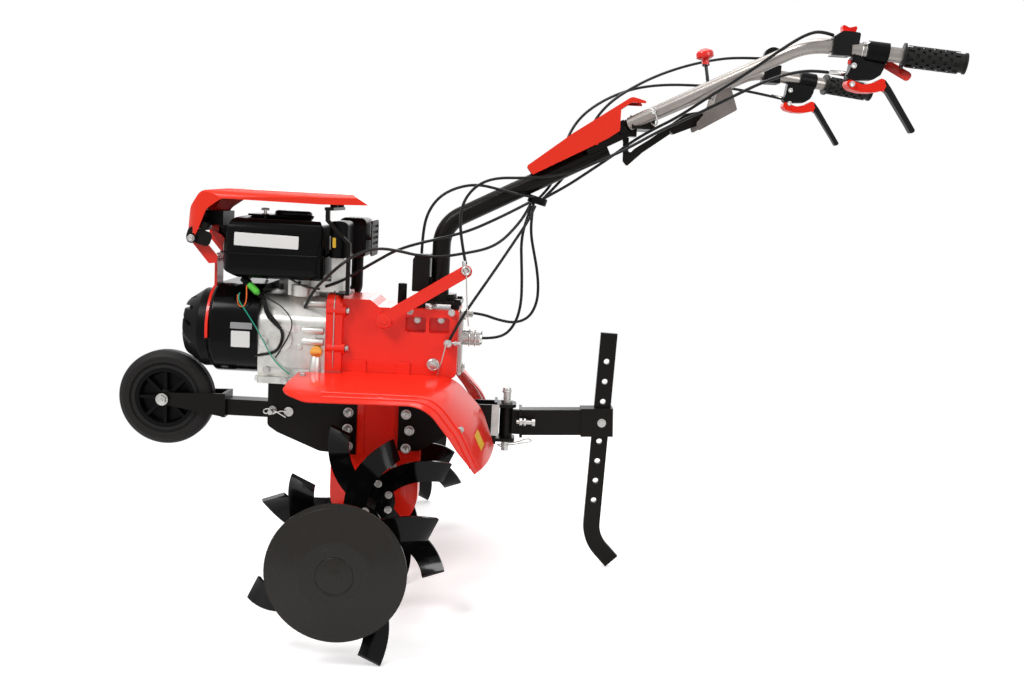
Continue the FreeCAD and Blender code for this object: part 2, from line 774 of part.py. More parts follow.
# The hood, its hinge strap in front and its post behind.
def make_hood():
    outer = common(
        slab("XZ", [
            ("16", "-10", "6"),
            ("6", "62", "26"),
            ("-18", "96", "26"),
            ("-116", "108", "60"),
            ("-312", "107", "20"),
            ("-352", "83"),
            ("-258", "80", "20"),
            ("-60", "82", "24"),
            ("-30", "60", "26"),
            ("-14", "20", "20"),
            ("2", "-10", "5"),
        ], "-hood_half", "hood_half"),
        slab("YZ", [
            ("-hood_half", "-40"), ("hood_half", "-40"), ("hood_half", "101", "24"),
            ("0", "109", "400"), ("-hood_half", "101", "24"),
        ], "-360", "20"),
        slab("XY", [
            ("-360", "-hood_half + 8", "10"), ("-60", "-hood_half", "40"), ("17", "-hood_half + 14", "44"),
            ("17", "hood_half - 14", "44"), ("-60", "hood_half", "40"), ("-360", "hood_half - 8", "10"),
        ], "-40", "120"),
    )
    inner = common(
        slab("XZ", [
            ("16 - hood_wall", "-20", "1"),
            ("5 - hood_wall", "60", "23"),
            ("-19", "96 - hood_wall", "23"),
            ("-116", "108 - hood_wall", "57"),
            ("-311", "107 - hood_wall", "20"),
            ("-362", "76"),
            ("-258", "50", "20"),
            ("-60", "50", "24"),
            ("-50", "-20"),
        ], "-hood_half + hood_wall", "hood_half - hood_wall"),
        slab("YZ", [
            ("-hood_half + hood_wall", "-40"), ("hood_half - hood_wall", "-40"),
            ("hood_half - hood_wall", "101 - hood_wall", "21"),
            ("0", "109 - hood_wall", "400"), ("-hood_half + hood_wall", "101 - hood_wall", "21"),
        ], "-370", "20"),
        slab("XY", [
            ("-370", "-hood_half + 8 + hood_wall", "7"), ("-60", "-hood_half + hood_wall", "40"),
            ("17 - hood_wall", "-hood_half + 14 + hood_wall", "41"),
            ("17 - hood_wall", "hood_half - 14 - hood_wall", "41"),
            ("-60", "hood_half - hood_wall", "40"), ("-370", "hood_half - 8 - hood_wall", "7"),
        ], "-45", "125"),
    )
    opening = box(("-30", "30"), ("-46", "46"), ("26", "56"))
    hinge_gap = box(("-50", "30"), ("-strap_half - 0.5", "strap_half + 0.5"), ("-30", "16"))
    ears = [
        slab("XZ", [("-9", "-9", "8"), ("11", "-9"), ("7", "40"), ("-9", "40")], low, high, [("0", "0", "5.2")])
        for low, high in (("strap_half + 0.5", "strap_half + 6"), ("-strap_half - 6", "-strap_half - 0.5"))
    ]
    pivots = [rod("Y", "5.2", "16", y=y) for y in ("strap_half - 2", "-strap_half - 14")]
    finish(cut(fuse(cut(outer, inner, opening, hinge_gap), *ears), *pivots), "hood", HOOD)
    lamp = fuse(
        slab("XY", [("-50", "-45.5"), ("7", "-45.5", "12"), ("7", "45.5", "12"), ("-50", "45.5")], "26.5", "55.5"),
        box(("-25", "-19"), ("-hood_half + 10.7", "hood_half - 10.7"), ("44", "50")),
    )
    finish(lamp, "headlamp", HOOD)


def make_hood_mounts():
    """A strap round the starter carries a cross bar, and an arm a side runs forward to the hinge."""
    strap = fuse(
        common(
            cut(
                rod("X", "94", "5.4", x="shroud_front + 0.3", z="crank_height - 4"),
                rod("X", "80", "20", x="shroud_front - 5", z="crank_height - 4"),
            ),
            box(("200", "260"), ("-60", "120"), ("crank_height - 16", "220")),
        ),
        box(("shroud_front + 0.3", "shroud_front + 5.7"), ("-25", "25"), ("crank_height + 78", "254")),
    )
    cross = box(("226", "shroud_front + 5.7"), ("-strap_half", "strap_half"), ("240", "246"))
    arms = [
        slab("XZ", [
            ("hood_hinge_x + 10", "hood_hinge_z - 2", "8"), ("hood_hinge_x + 2", "hood_hinge_z + 12", "8"),
            ("hood_hinge_x - 16", "hood_hinge_z + 2", "4"), ("224", "252"), ("226", "238"), ("242", "236"),
        ], f"{side} * (strap_half - 3) - 3", f"{side} * (strap_half - 3) + 3")
        for side in ("-1", "1")
    ]
    pins = [
        rod("Y", "5", "9", x="hood_hinge_x", y=y, z="hood_hinge_z")
        for y in ("strap_half - 1", "-strap_half - 8")
    ]
    finish(fuse(strap, cross, *arms, *pins), "hood_arms", ENGINE)
    seat = "flange_top - engine_base + 0.3"
    post = fuse(
        box(("-47", "-39"), ("88", "100"), (seat, "292")),
        slab("XZ", [("-47", "290"), ("-39", "290"), ("5", "334"), ("5", "361"), ("-3", "361"), ("-3", "337")],
             "88", "100"),
        box(("-47", "-20"), ("38", "100"), (seat, f"{seat} + 4")),
        box(("-11", "7"), ("-50", "100"), ("355", "361")),
        rod("Z", "8", "27", x="-2", y="-40", z="361"),
        rod("Z", "8", "27", x="-2", y="40", z="361"),
    )
    finish(post, "hood_post", ENGINE)


# The fenders over the tines.
def make_fenders():
    """Each fender is crowned across, rolled down behind, and rounded at its outer corners."""
    wall = size("fender_wall")
    stations = (
        (78, ((152, 266), (-160, 268), (-222, 204), (-250, 128))),
        (180, ((152, 264), (-152, 265), (-212, 199), (-243, 124))),
        (255, ((152, 257), (-138, 258), (-192, 192), (-228, 120))),
        (300, ((152, 243), (-120, 247), (-170, 186), (-210, 116))),
    )

    def section(y, spots):
        upper = [Vector(x, y, z) for x, z in spots]
        lower = []
        for i, (x, z) in enumerate(spots):
            before, after = upper[max(i - 1, 0)], upper[min(i + 1, 3)]
            along = (after - before).normalize()
            lower.append(Vector(x, y, z) + Vector(-along.z, 0, along.x) * wall)
        line = path(upper, [72, 96])
        under = path(lower, [72 - wall, 96 - wall])
        ends = [Part.makeLine(upper[-1], lower[-1]), Part.makeLine(lower[0], upper[0])]
        return Part.Wire(line.Edges + [ends[0]] + under.reversed().Edges[::-1] + [ends[1]])

    sheet_shape = Part.makeLoft([section(y, spots) for y, spots in stations], True, False)
    plan = slab("XY", [
        ("fender_inner - 12", "fender_inner"), ("fender_inner - 12", "fender_inner + 21", "6"),
        ("153", "fender_inner + 21", "16"), ("153", "fender_outer - 30", "44"), ("104", "fender_outer", "40"),
        ("-178", "fender_outer", "60"), ("-256", "fender_outer - 40", "60"), ("-256", "fender_inner", "6"),
    ], "0", "400")
    tabs = fuse(*(
        box((low, high), ("gearbox_half + 0.3", "fender_inner + 0.8"), ("266.5", "292"))
        for low, high in (("20", "48"), ("-70", "-42"))
    ))
    trim, tab = made(plan, tabs)
    left = sheet_shape.common(trim).fuse([tab]).removeSplitter()
    finish(shaped(left), "fender_left", AXLE)
    finish(shaped(left.mirror(Vector(), Y)), "fender_right", AXLE)


# The tines: a cross axle, three sets of blades a side, and a guard disc at each end.
def make_tines():
    thick = size("blade_thick")
    flange = Part.makeCylinder(size("tine_flange"), thick, Vector(0, -thick / 2, 0), Y)
    sleeve = Part.makeCylinder(size("hub_radius"), 40, Vector(0, -20, 0), Y)
    bore = Part.makeCylinder(size("axle_radius") + 0.25, 60, Vector(0, -30, 0), Y)
    blades = []
    for k in range(int(size("blades_per_set"))):
        blade = BLADE.mirror(Vector(), Y) if k % 2 else BLADE
        blades.append(blade.copy().rotate(Vector(), Y, STEP * k))
    one_set = flange.fuse([sleeve] + blades).removeSplitter().cut(bore)
    for side, mark in ((1, "left"), (-1, "right")):
        sets = []
        for index, where in enumerate(("set_inner", "set_middle", "set_outer")):
            shape = one_set.copy()
            shape.rotate(Vector(), Y, STEP / 4 - TIP_BACK + STEP / 2 * (index % 2) + size("lean"))
            if side < 0:
                shape = shape.mirror(Vector(), Y)
            shape.translate(Vector(0, side * size(where), 0))
            sets.append(shape)
        finish(shaped(Part.makeCompound(sets)), f"tine_sets_{mark}", AXLE)
    discs = []
    for side, mark in ((1, "left"), (-1, "right")):
        dish = new_body(f"disc_{mark}")
        face = sketch_on(dish, "YZ")
        flip = "" if side > 0 else "-"
        outline(face, [
            (f"{flip}(disc_at)", "0"),
            (f"{flip}(disc_at + disc_thick)", "0"),
            (f"{flip}(disc_at + disc_thick)", "28", "4"),
            (f"{flip}(disc_at + disc_thick + 4)", "34", "4"),
            (f"{flip}(disc_at + disc_thick + 4)", "60", "20"),
            (f"{flip}(disc_at + disc_thick - disc_dish + 4)", "disc_radius"),
            (f"{flip}(disc_at - disc_dish + 4)", "disc_radius"),
            (f"{flip}(disc_at + 4)", "60", "20"),
            (f"{flip}(disc_at + 4)", "34 + 2", "4"),
            (f"{flip}(disc_at)", "28 + 2", "4"),
        ])
        turned(dish, face, "Y")
        discs.append(dish)
    finish(shaped(Part.makeCompound(made(*discs))), "guard_discs", AXLE)
    axle = rod("Y", "axle_radius", "2 * disc_at - 0.6", y="-disc_at + 0.3")
    finish(axle, "tine_axle", AXLE)


# The transport wheel on its swinging arm.
def make_wheel():
    beam = cut(
        box(("-17", "136"), ("-arm_half", "arm_half"), ("-arm_high / 2", "arm_high / 2")),
        box(("-20", "137"), ("-arm_half + 3", "arm_half - 3"), ("-arm_high / 2 + 3", "arm_high / 2 - 3")),
    )
    yoke = box(("134", "142"), ("-fork_gap - fork_wall", "fork_gap + fork_wall"), ("-20", "30"))
    prongs = [
        slab("XZ", [
            ("134", "-20", "4"), ("arm_reach - 6", "0", "20"), ("arm_reach + 13", "1", "12"),
            ("arm_reach + 13", "25", "12"), ("arm_reach - 6", "26", "20"), ("134", "30", "4"),
        ], low, high)
        for low, high in (("fork_gap", "fork_gap + fork_wall"), ("-fork_gap - fork_wall", "-fork_gap"))
    ]
    axle = rod("Y", "6", "2 * (fork_gap + fork_wall + 8)", x="arm_reach", y="-fork_gap - fork_wall - 8", z="13")
    nuts = [
        rod("Y", "10", "7", x="arm_reach", y=y, z="13")
        for y in ("fork_gap + fork_wall", "-fork_gap - fork_wall - 7")
    ]
    holes = [
        rod("Y", "6.3", "4 * arm_half", y="-2 * arm_half"),
        rod("Y", "5.2", "4 * arm_half", x="34", y="-2 * arm_half", z="1"),
    ]
    finish(fuse(cut(fuse(beam, yoke), *holes), *prongs, axle, *nuts), "wheel_arm", ARM)
    rim = new_body("rim")
    section = sketch_on(rim, "YZ")
    outline(section, [
        ("-24", "6.1"), ("24", "6.1"), ("24", "13"), ("20", "17"), ("3", "20"), ("3", "rim_radius - 12"),
        ("wheel_half - 3", "rim_radius - 8"), ("wheel_half - 3", "rim_radius"),
        ("-wheel_half + 3", "rim_radius"), ("-wheel_half + 3", "rim_radius - 8"), ("-3", "rim_radius - 12"),
        ("-3", "20"), ("-20", "17"), ("-24", "13"),
    ])
    turned(rim, section, "Y")
    spoke = sketch_on(rim, "XZ")
    outline(spoke, [("-4", "12"), ("4", "12"), ("3", "rim_radius - 8"), ("-3", "rim_radius - 8")])
    finish_pattern(rim, pad(rim, spoke, "2 * wheel_half - 10", symmetric=True), "Y", "8")
    finish(rim, "wheel_rim", WHEEL)
    tyre = new_body("tyre")
    section = sketch_on(tyre, "YZ")
    outline(section, [
        ("-wheel_half + 2", "rim_radius + 0.3"),
        ("wheel_half - 2", "rim_radius + 0.3"),
        ("wheel_half - 2", "rim_radius + 7"),
        ("wheel_half - 4", "rim_radius + 8"),
        ("wheel_half - 4", "rim_radius + 10"),
        ("wheel_half", "rim_radius + 12"),
        ("wheel_half", "rim_radius + 24", "8"),
        ("wheel_half - 8", "wheel_radius", "12"),
        ("-wheel_half + 8", "wheel_radius", "12"),
        ("-wheel_half", "rim_radius + 24", "8"),
        ("-wheel_half", "rim_radius + 12"),
        ("-wheel_half + 4", "rim_radius + 10"),
        ("-wheel_half + 4", "rim_radius + 8"),
        ("-wheel_half + 2", "rim_radius + 7"),
    ])
    turned(tyre, section, "Y")
    finish(tyre, "tyre", WHEEL)
    bolt = fuse(
        rod("Y", "6", "2 * (leg_half + plate_thick + 6)", y="-leg_half - plate_thick - 6"),
        rod("Y", "10", "5.7", y="leg_half + plate_thick + 0.3"),
        rod("Y", "10", "5.7", y="-leg_half - plate_thick - 6"),
    )
    finish(bolt, "arm_bolt", ARM)
    pin = fuse(
        rod("Y", "5", "34", x="34", y="leg_half + 0.5", z="1"),
        rod("Y", "9", "3", x="34", y="leg_half + plate_thick + 0.3", z="1"),
    )
    finish(pin, "lock_pin", ARM)


# The hitch: a pin through the bracket's lugs, a swinging bar, and a stake pinned in its socket.
def make_hitch():
    pin = fuse(
        rod("Z", "pin_radius - 0.1", "126", z="-63"),
        rod("Z", "12", "6", z="lug_gap / 2 + lug_thick + 0.3"),
    )
    finish(pin, "hitch_pin", PIN)
    sleeve = cut(
        rod("Z", "pin_radius + 6", "lug_gap - 2", z="-lug_gap / 2 + 1"),
        rod("Z", "pin_radius + 0.1", "2 * lug_gap", z="-lug_gap"),
    )
    web = cut(
        box(("-30", "-8"), ("-6", "6"), ("-26", "26")),
        rod("Z", "pin_radius + 3", "2 * lug_gap", z="-lug_gap"),
    )
    hinge = Part.makeCompound(made(sleeve, web))
    hinge.rotate(Vector(), Vector(0, -1, 0), size("hitch_rise"))
    plate = Part.makeBox(6, 56, size("bar_high") + 6, Vector(-34, -28, -size("bar_high") / 2 - 3))
    bar = Part.makeBox(
        size("bar_end") - 34, 2 * size("bar_half"), size("bar_high"),
        Vector(-size("bar_end"), -size("bar_half"), -size("bar_high") / 2),
    )
    shell = box(
        ("-bar_end - socket_long", "-bar_end"), ("-socket_half - 6", "socket_half + 6"),
        ("-socket_high / 2", "socket_high / 2"),
    )
    body = made(shell)[0]
    slot = Part.makeBox(
        size("stake_wide") + 1, 2 * size("stake_half") + 1, 300,
        Vector(-size("stake_wide") / 2 - 0.5, -size("stake_half") - 0.5, -150),
    )
    slot.rotate(Vector(), Vector(0, -1, 0), size("stake_lean"))
    slot.translate(Vector(-size("stake_at"), 0, 0))
    hole = Part.makeCylinder(size("stake_hole"), 80, Vector(-size("stake_at"), -40, 0), Y)
    stops = [
        Part.makeCylinder(5, 30, Vector(-58, side * 21, 3), Vector(1, 0, 0)) for side in (-1, 1)
    ] + [
        Part.makeCylinder(9, 6, Vector(-40, side * 21, 3), Vector(1, 0, 0)) for side in (-1, 1)
    ]
    joined = hinge.Solids[0].fuse(hinge.Solids[1:] + [plate, bar, body] + stops)
    finish(shaped(joined.cut([slot, hole]).removeSplitter()), "hitch_bar", HITCH)
    make_stake()
    pin = fuse(
        rod("Y", "stake_pin", "2 * (socket_half + 12)", x="-stake_at", y="-socket_half - 12"),
        rod("Y", "9", "3", x="-stake_at", y="socket_half + 6.3"),
    )
    finish(pin, "stake_pin", HITCH)


def make_stake():
    """A flat bar with a row of holes; its foot is bent back and rests on the ground."""
    foot_bend, foot_out = 46.0, 70.0
    half = size("stake_wide") / 2
    frame = HITCH * shift("-stake_at", "0", "0", size("stake_lean"))
    top = 4.4 * size("hole_pitch")
    down = Vector(0, 0, -1)
    out = Rotation(Vector(0, -1, 0), -foot_bend).multVec(down)

    def bar(knee):
        line = path([Vector(0, 0, top), Vector(0, 0, -knee), Vector(0, 0, -knee) + out * foot_out], [80])
        section = Part.makePolygon([
            Vector(-half, -size("stake_half"), top), Vector(half, -size("stake_half"), top),
            Vector(half, size("stake_half"), top), Vector(-half, size("stake_half"), top),
            Vector(-half, -size("stake_half"), top),
        ])
        return line.makePipeShell([section], True, False)

    def lowest(knee):
        shape = bar(knee)
        shape.Placement = (STANCE * frame) * shape.Placement
        return shape.BoundBox.ZMin

    knee = 240.0
    for _ in range(3):
        knee += lowest(knee)
    shape = bar(knee)
    for k in range(-4, 4):
        hole = Part.makeCylinder(size("stake_hole"), 60, Vector(0, -30, k * size("hole_pitch")), Y)
        shape = shape.cut(hole)
    finish(shaped(shape), "drag_stake", frame)


# The column and the handlebar.
def make_column():
    plate = slab("XY", [("-49", "-52", "8"), ("53", "-52", "8"), ("53", "52", "8"), ("-49", "52", "8")], "-12", "-6")
    feet = [
        rod("Z", "9", "10", x=x, y=y, z="gearbox_deck - column_z + 0.3")
        for x in ("-36", "40") for y in ("-40", "40")
    ]
    turret = rod("Z", "38", "6.3", z="-6.6")
    bolts = [rod("Z", "7", "5", x=x, y=y, z="-6.5") for x in ("-40", "44") for y in ("-40", "40")]
    finish(fuse(plate, *feet, turret, *bolts), "column_base", COLUMN)
    rise = size("column_rise")
    back = Vector(-math.cos(math.radians(rise)), 0, math.sin(math.radians(rise)))
    knee = Vector(0, 0, size("column_knee"))
    hinge = HANDLE.Base - COLUMN.Base
    reach = (hinge - knee).dot(back) - 42
    spine = [Vector(0, 0, 3), knee, knee + back * reach]
    shape = tube(spine, [size("column_bend")], size("column_radius"), size("column_radius") - 3)
    foot = Part.makeCylinder(36, 7, Vector(), Z)
    lock = made(fuse(
        slab("XZ", [
            ("21", "10", "3"), ("56", "10", "3"), ("56", "76", "6"), ("49", "88", "3"), ("21", "88", "3"),
        ], "-31", "31"),
        box(("14", "30"), ("-12", "12"), ("20", "40")),
    ))[0]
    cheeks = []
    for side in (-1, 1):
        cheek = Part.makeBox(94, 6, 36, Vector(-10, side * (size("ear_half") + 3) - 3, -18))
        cheek.rotate(Vector(), Vector(0, -1, 0), -rise)
        cheek.translate(hinge)
        cheeks.append(cheek)
    half = size("ear_half") + 12
    bolt = Part.makeCylinder(size("hinge_radius"), 2 * half, hinge - Y * half, Y)
    whole = shape.fuse([foot, lock] + cheeks + [bolt]).removeSplitter()
    finish(shaped(whole), "column", COLUMN)


def handle_line(side):
    """The run of one handlebar tube from the yoke to its open end."""
    return [Vector(-14, side * 31, 12), Vector(-312, side * 228, 159), Vector(-476, side * 254, 143)]


def make_handle():
    radius = size("tube_radius")
    bars, hollows = [], []
    for side in (1, -1):
        points = handle_line(side)
        way = (points[2] - points[1]).normalize()
        long = points[:2] + [points[2] + way * (size("grip_long") - 6)]
        bars.append(tube(long, [120], radius, radius - size("tube_wall")))
        hollows.append(tube(points, [120], radius + 0.3))
    block = fuse(
        box(("-62", "-16"), ("-48", "48"), ("2", "28")),
        box(("-20", "2"), ("-16.5", "16.5"), ("-12", "12")),
        box(("-30", "-14"), ("-16.5", "16.5"), ("-12", "30")),
        rod("Y", "14", "33", y="-16.5"),
    )
    solid = made(block)[0].cut(hollows)
    solid = solid.cut(Part.makeCylinder(size("hinge_radius") + 0.1, 60, Vector(0, -30, 0), Y))
    solid = max(solid.Solids, key=lambda part: part.Volume)
    finish(shaped(solid), "handle_yoke", HANDLE)
    finish(shaped(Part.makeCompound(bars)), "handle_tubes", HANDLE)
    grips = []
    for side in (1, -1):
        _, bend, end = handle_line(side)
        way = (end - bend).normalize()
        far = size("grip_long")
        grip = Part.makeCylinder(size("grip_radius"), far, end, way)
        rings = [Part.makeCylinder(size("grip_radius") + 6, 4, end, way)]
        rings += [Part.makeCylinder(size("grip_radius") + 2, 4, end + way * (far - 4), way)]
        hollow = Part.makeCylinder(radius + 0.1, far - 5, end, way)
        grips.append(grip.fuse(rings).cut(hollow).removeSplitter())
    finish(shaped(Part.makeCompound(grips)), "grips", HANDLE)


def make_levers():
    """Under each tube a clamped bracket holds a clutch lever that hangs behind it."""
    mounts, levers = [], []
    for side in (1, -1):
        inner, outer = (f"{side} * 240 - 11", f"{side} * 240 + 11")
        cheek = slab("XZ", [
            ("-388", "139", "3"), ("-448", "135", "3"), ("-447", "121", "6"), ("-441", "107", "5"),
            ("-428", "98", "10"), ("-406", "96.5", "10"), ("-390", "94", "10"), ("-379", "101", "5"),
            ("-385", "115", "6"),
        ], inner, outer)
        mounts.append(cheek)
        body = slab("XZ", [
            ("-378", "88", "8"), ("-388", "79", "8"), ("-406", "75", "20"), ("-426", "75", "12"),
            ("-446", "79", "4"), ("-454", "88", "3"), ("-441", "100", "3"), ("-430", "93", "8"),
            ("-410", "88", "20"), ("-396", "93", "6"), ("-384", "97", "6"),
        ], f"{side} * 240 - 14", f"{side} * 240 + 14")
        blade = slab("XZ", [
            ("-440", "103", "4"), ("-452", "100", "8"), ("-463", "87", "14"), ("-516", "11", "4"),
            ("-508", "5", "4"), ("-497", "21", "14"), ("-456", "77", "12"), ("-444", "83", "6"),
        ], f"{side} * 240 - 7", f"{side} * 240 + 7")
        levers.append(fuse(body, blade))
    tubes = [
        tube([points[0], points[1], points[2]], [120], size("tube_radius") + 0.2)
        for points in (handle_line(1), handle_line(-1))
    ]
    clamps = []
    for cheek, (_, bend, end) in zip(made(*mounts), (handle_line(1), handle_line(-1))):
        way = (end - bend).normalize()
        clamp = Part.makeCylinder(size("tube_radius") + 5.5, 38, bend + way * 104, way)
        clamps.append(cheek.fuse([clamp]).cut(tubes))
    bodies = []
    for clamp, lever in zip(clamps, made(*levers)):
        bodies.append(lever.cut(clamp))
    finish(shaped(Part.makeCompound([c.Solids[0] for c in clamps])), "lever_brackets", HANDLE)
    finish(shaped(Part.makeCompound(bodies)), "clutch_levers", HANDLE)


def make_cover():
    """The cover over the hinge sits on the column, held off its cheeks by two spacers."""
    outer = slab("XZ", [
        ("191", "-83", "3"), ("178", "-100", "3"), ("96", "-56", "20"), ("30", "-20", "20"),
        ("-2", "3", "3"), ("-45", "58", "3"), ("-14", "66", "14"), ("100", "-12", "40"),
    ], "-38", "38")
    inner = slab("XZ", [
        ("196", "-90"), ("178", "-106"), ("96", "-62"), ("20", "-22"), ("-8", "-2"), ("-52", "58"),
        ("-15", "62", "14"), ("99", "-15.5", "40"),
    ], "-35", "35")
    shell = cut(outer, inner)
    yoke_room = slab("XZ", [
        ("-70", "-40"), ("6.5", "-40"), ("6.5", "40"), ("-13", "54"), ("-70", "54"),
    ], "-60", "60")
    spacers = [
        rod("Y", "6", "13", x="53", y=y, z="-28") for y in ("ear_half + 6.3", "-ear_half - 19.3")
    ]
    cover = made(fuse(cut(shell, yoke_room), *spacers))[0]
    tubes = []
    for side in (1, -1):
        for lift in (0, size("handle_tilt") / 2, size("handle_tilt")):
            notch = tube(handle_line(side), [120], size("tube_radius") + 6)
            tubes.append(notch.rotate(Vector(), Y, lift))
    finish(shaped(cover.cut(tubes)), "handle_cover", HANDLE)


def make_handle_fittings():
    """The height lock, the gear plate with its lever, the throttle and the switch."""
    lock = fuse(
        slab("XZ", [
            ("-6", "-62", "4"), ("-15", "-72", "3"), ("-45", "-43"), ("-100", "-2"),
            ("-94", "12"), ("-60", "-14"), ("-28", "-36"), ("-16", "-50", "4"), ("-16", "-14"),
            ("-3.5", "-14"),
        ], "-5", "5"),
        slab("XZ", [
            ("-92", "12", "6"), ("-104", "-4", "6"), ("-160", "20", "8"), ("-168", "36", "8"),
            ("-156", "46", "6"), ("-128", "40", "10"),
        ], "-13", "13"),
    )
    finish(lock, "lock_lever", HANDLE)
    cross = rod("Y", "8", "262.4", x="-196", y="-131.2", z="102")
    cheeks = [
        slab("XZ", [
            ("-150", "4", "4"), ("-146", "20", "4"), ("-178", "60"), ("-188", "106"), ("-206", "106"),
            ("-226", "50", "4"),
        ], low, high)
        for low, high in (("40", "43"), ("-43", "-40"))
    ]
    web = slab("XZ", [("-178", "60"), ("-188", "106"), ("-191", "106"), ("-181", "60")], "-43", "43")
    finish(fuse(cross, web, *cheeks), "control_plate", HANDLE)
    knob = new_body("knob")
    section = sketch_on(knob, "XZ")
    outline(section, [
        ("0", "0"), ("3.5", "0"), ("3.5", "66"), ("8", "68"), ("7", "79"), ("18", "84", "5"),
        ("18", "96", "6"), ("6", "102", "4"), ("0", "102"),
    ])
    turned(knob, section, "Z")
    finish(knob, "gear_lever", HANDLE * shift("-176.6", "0", "72", -11))
    dial = rod("Y", "21", "18", x="-349", y="-240", z="194")
    lever = slab("XZ", [
        ("-349", "205", "4"), ("-320", "191", "3"), ("-304", "181", "3"), ("-308", "175", "3"),
        ("-326", "179", "3"), ("-349", "187", "4"),
    ], "-222.5", "-215")
    housing = slab("XZ", [
        ("-397", "158", "4"), ("-399", "180", "4"), ("-368", "183", "4"), ("-350", "170", "4"), ("-352", "158", "4"),
    ], "224", "252")
    rocker = slab("XZ", [
        ("-390", "178"), ("-394", "193", "3"), ("-379", "189", "2"), ("-365", "195", "3"), ("-368", "180"),
    ], "230", "246")
    rings = [
        box(("-367", "-331"), ("-258", "-214"), ("136", "175")),
        box(("-384", "-350"), ("224", "256"), ("138", "162")),
    ]
    tubes = [
        tube(handle_line(side), [120], size("tube_radius") + 0.2) for side in (1, -1)
    ]
    for name, whole in (
        ("throttle", fuse(dial, lever, rings[0])), ("engine_switch", fuse(housing, rocker, rings[1])),
    ):
        finish(shaped(made(whole)[0].cut(tubes)), name, HANDLE)


def make_controls():
    arm = slab("XZ", [
        ("-210", "-12.5", "12"), ("12.5", "-12.5", "12"), ("12.5", "12.5", "12"), ("-210", "12.5", "12"),
    ], "gearbox_half + 14", "gearbox_half + 20", [("-198", "0", "4")])
    hub = rod("Y", "11", "19.7", y="gearbox_half + 0.3")
    finish(fuse(arm, hub), "clutch_arm", AXLE * shift("-10", "0", "377", -33))
    plate = slab("YZ", [
        ("-32", "262", "8"), ("32", "262", "8"), ("32", "398", "8"), ("-32", "398", "8"),
    ], "-gearbox_rear - 6.3", "-gearbox_rear - 0.3")
    cylinder = rod("X", "16", "40", x="-gearbox_rear - 43", z="340")
    nose = rod("X", "12", "4", x="-gearbox_rear - 46", z="340")
    latch = box(("-gearbox_rear - 26", "-gearbox_rear - 6"), ("-12", "12"), ("384", "388"))
    stem = rod("X", "6", "20", x="-gearbox_rear - 26", z="392")
    finish(fuse(plate, cylinder, nose, latch, stem), "selector_housing", AXLE)


# The control cables: each is a run of straight lines joined by arcs, all the way along its route.
CABLES = {
    "cable_column": [
        (-306, 18, 640), (-274, 26, 643), (-233, 33, 652), (-190, 39, 660), (-149, 41, 652),
        (-113, 38, 632), (-90, 32, 599), (-81, 27, 559), (-80, 24, 512.6),
    ],
    "cable_clutch": [
        (-384, 32, 696), (-331, 37, 682), (-280, 39, 677), (-228, 43, 675), (-192, 50, 661),
        (-167, 60, 633), (-158, 72, 599), (-162, 84, 551), (-175, 92, 498.5),
    ],
    "cable_choke": [
        (-306, 8, 634), (-268, 26, 612), (-228, 40, 590), (-178, 50, 565), (-124, 58, 548),
        (-69, 66, 533), (-30, 74, 518), (2, 78, 498), (40, 79, 474), (76, 80, 450), (108, 73, 438),
    ],
    "cable_governor": [
        (-302, 0, 632), (-290, 8, 603), (-268, 20, 573), (-244, 34, 547), (-215, 46, 530),
        (-170, 56, 519), (-120, 66, 509), (-76, 78, 511), (-40, 94, 519), (-2, 114, 524),
        (34, 139, 514), (66, 151, 490), (98, 138, 460), (128, 108, 430), (150, 67, 392.9),
    ],
    "cable_latch": [
        (-306, -16, 630), (-303, -20, 595), (-304, -23, 561), (-312, -25, 526), (-321, -26, 488),
        (-326, -25, 450), (-324, -22, 416), (-309, -18, 386), (-279, -12, 374), (-243, -6, 380),
        (-214, -2, 390), (-191.6, 0, 392),
    ],
    "cable_selector": [
        (-302, -8, 622), (-290, -3, 586), (-284, 2, 546), (-287, 5, 505), (-290, 6, 463),
        (-291, 6, 421), (-284, 5, 383), (-266, 3, 353), (-238, 1, 341), (-211.4, 0, 340),
    ],
    "cable_gear": [
        (-309, 14, 622), (-298, 24, 594), (-278, 34, 561), (-250, 45, 515), (-220, 58, 467),
        (-190, 71, 420), (-166, 80, 380), (-148, 85, 341),
    ],
    "cable_clutch_upper": [
        (-857.8, -242, 890), (-812, -236, 897), (-766, -224, 902), (-714, -205, 905),
        (-655, -180, 903), (-584, -148, 898), (-521, -118, 886), (-473, -92, 867), (-433, -72, 844), (-400, -60, 817), (-378, -54, 786),
        (-366, -49, 752), (-357, -43, 714), (-346, -34, 680), (-332, -22, 655), (-316, -13, 638),
    ],
    "cable_throttle": [
        (-805.2, -231, 975), (-742, -211, 972), (-678, -182, 958), (-614, -146, 937), (-555, -112, 911),
        (-504, -87, 882), (-461, -70, 851), (-431, -60, 817), (-414, -53, 780), (-402, -48, 744),
        (-384, -40, 709), (-356, -22, 671), (-322, -5, 634),
    ],
    "cable_switch": [
        (-830.8, 238, 960), (-806, 247, 965), (-780, 252, 958), (-750, 245, 939), (-716, 222, 912),
        (-676, 188, 881), (-626, 140, 846), (-578, 86, 810), (-538, 64, 788), (-500, 44, 764), (-460, 26, 731),
        (-414, 18, 697), (-366, 14, 662), (-322, 13, 636),
    ],
    "cable_lever": [
        (-857.2, 242, 890), (-812, 228, 898), (-768, 205, 894), (-722, 178, 877), (-676, 149, 852),
        (-626, 118, 824), (-578, 90, 800), (-538, 68, 778), (-500, 50, 754), (-462, 39, 733),
        (-424, 34, 715), (-387, 32, 697),
    ],
}


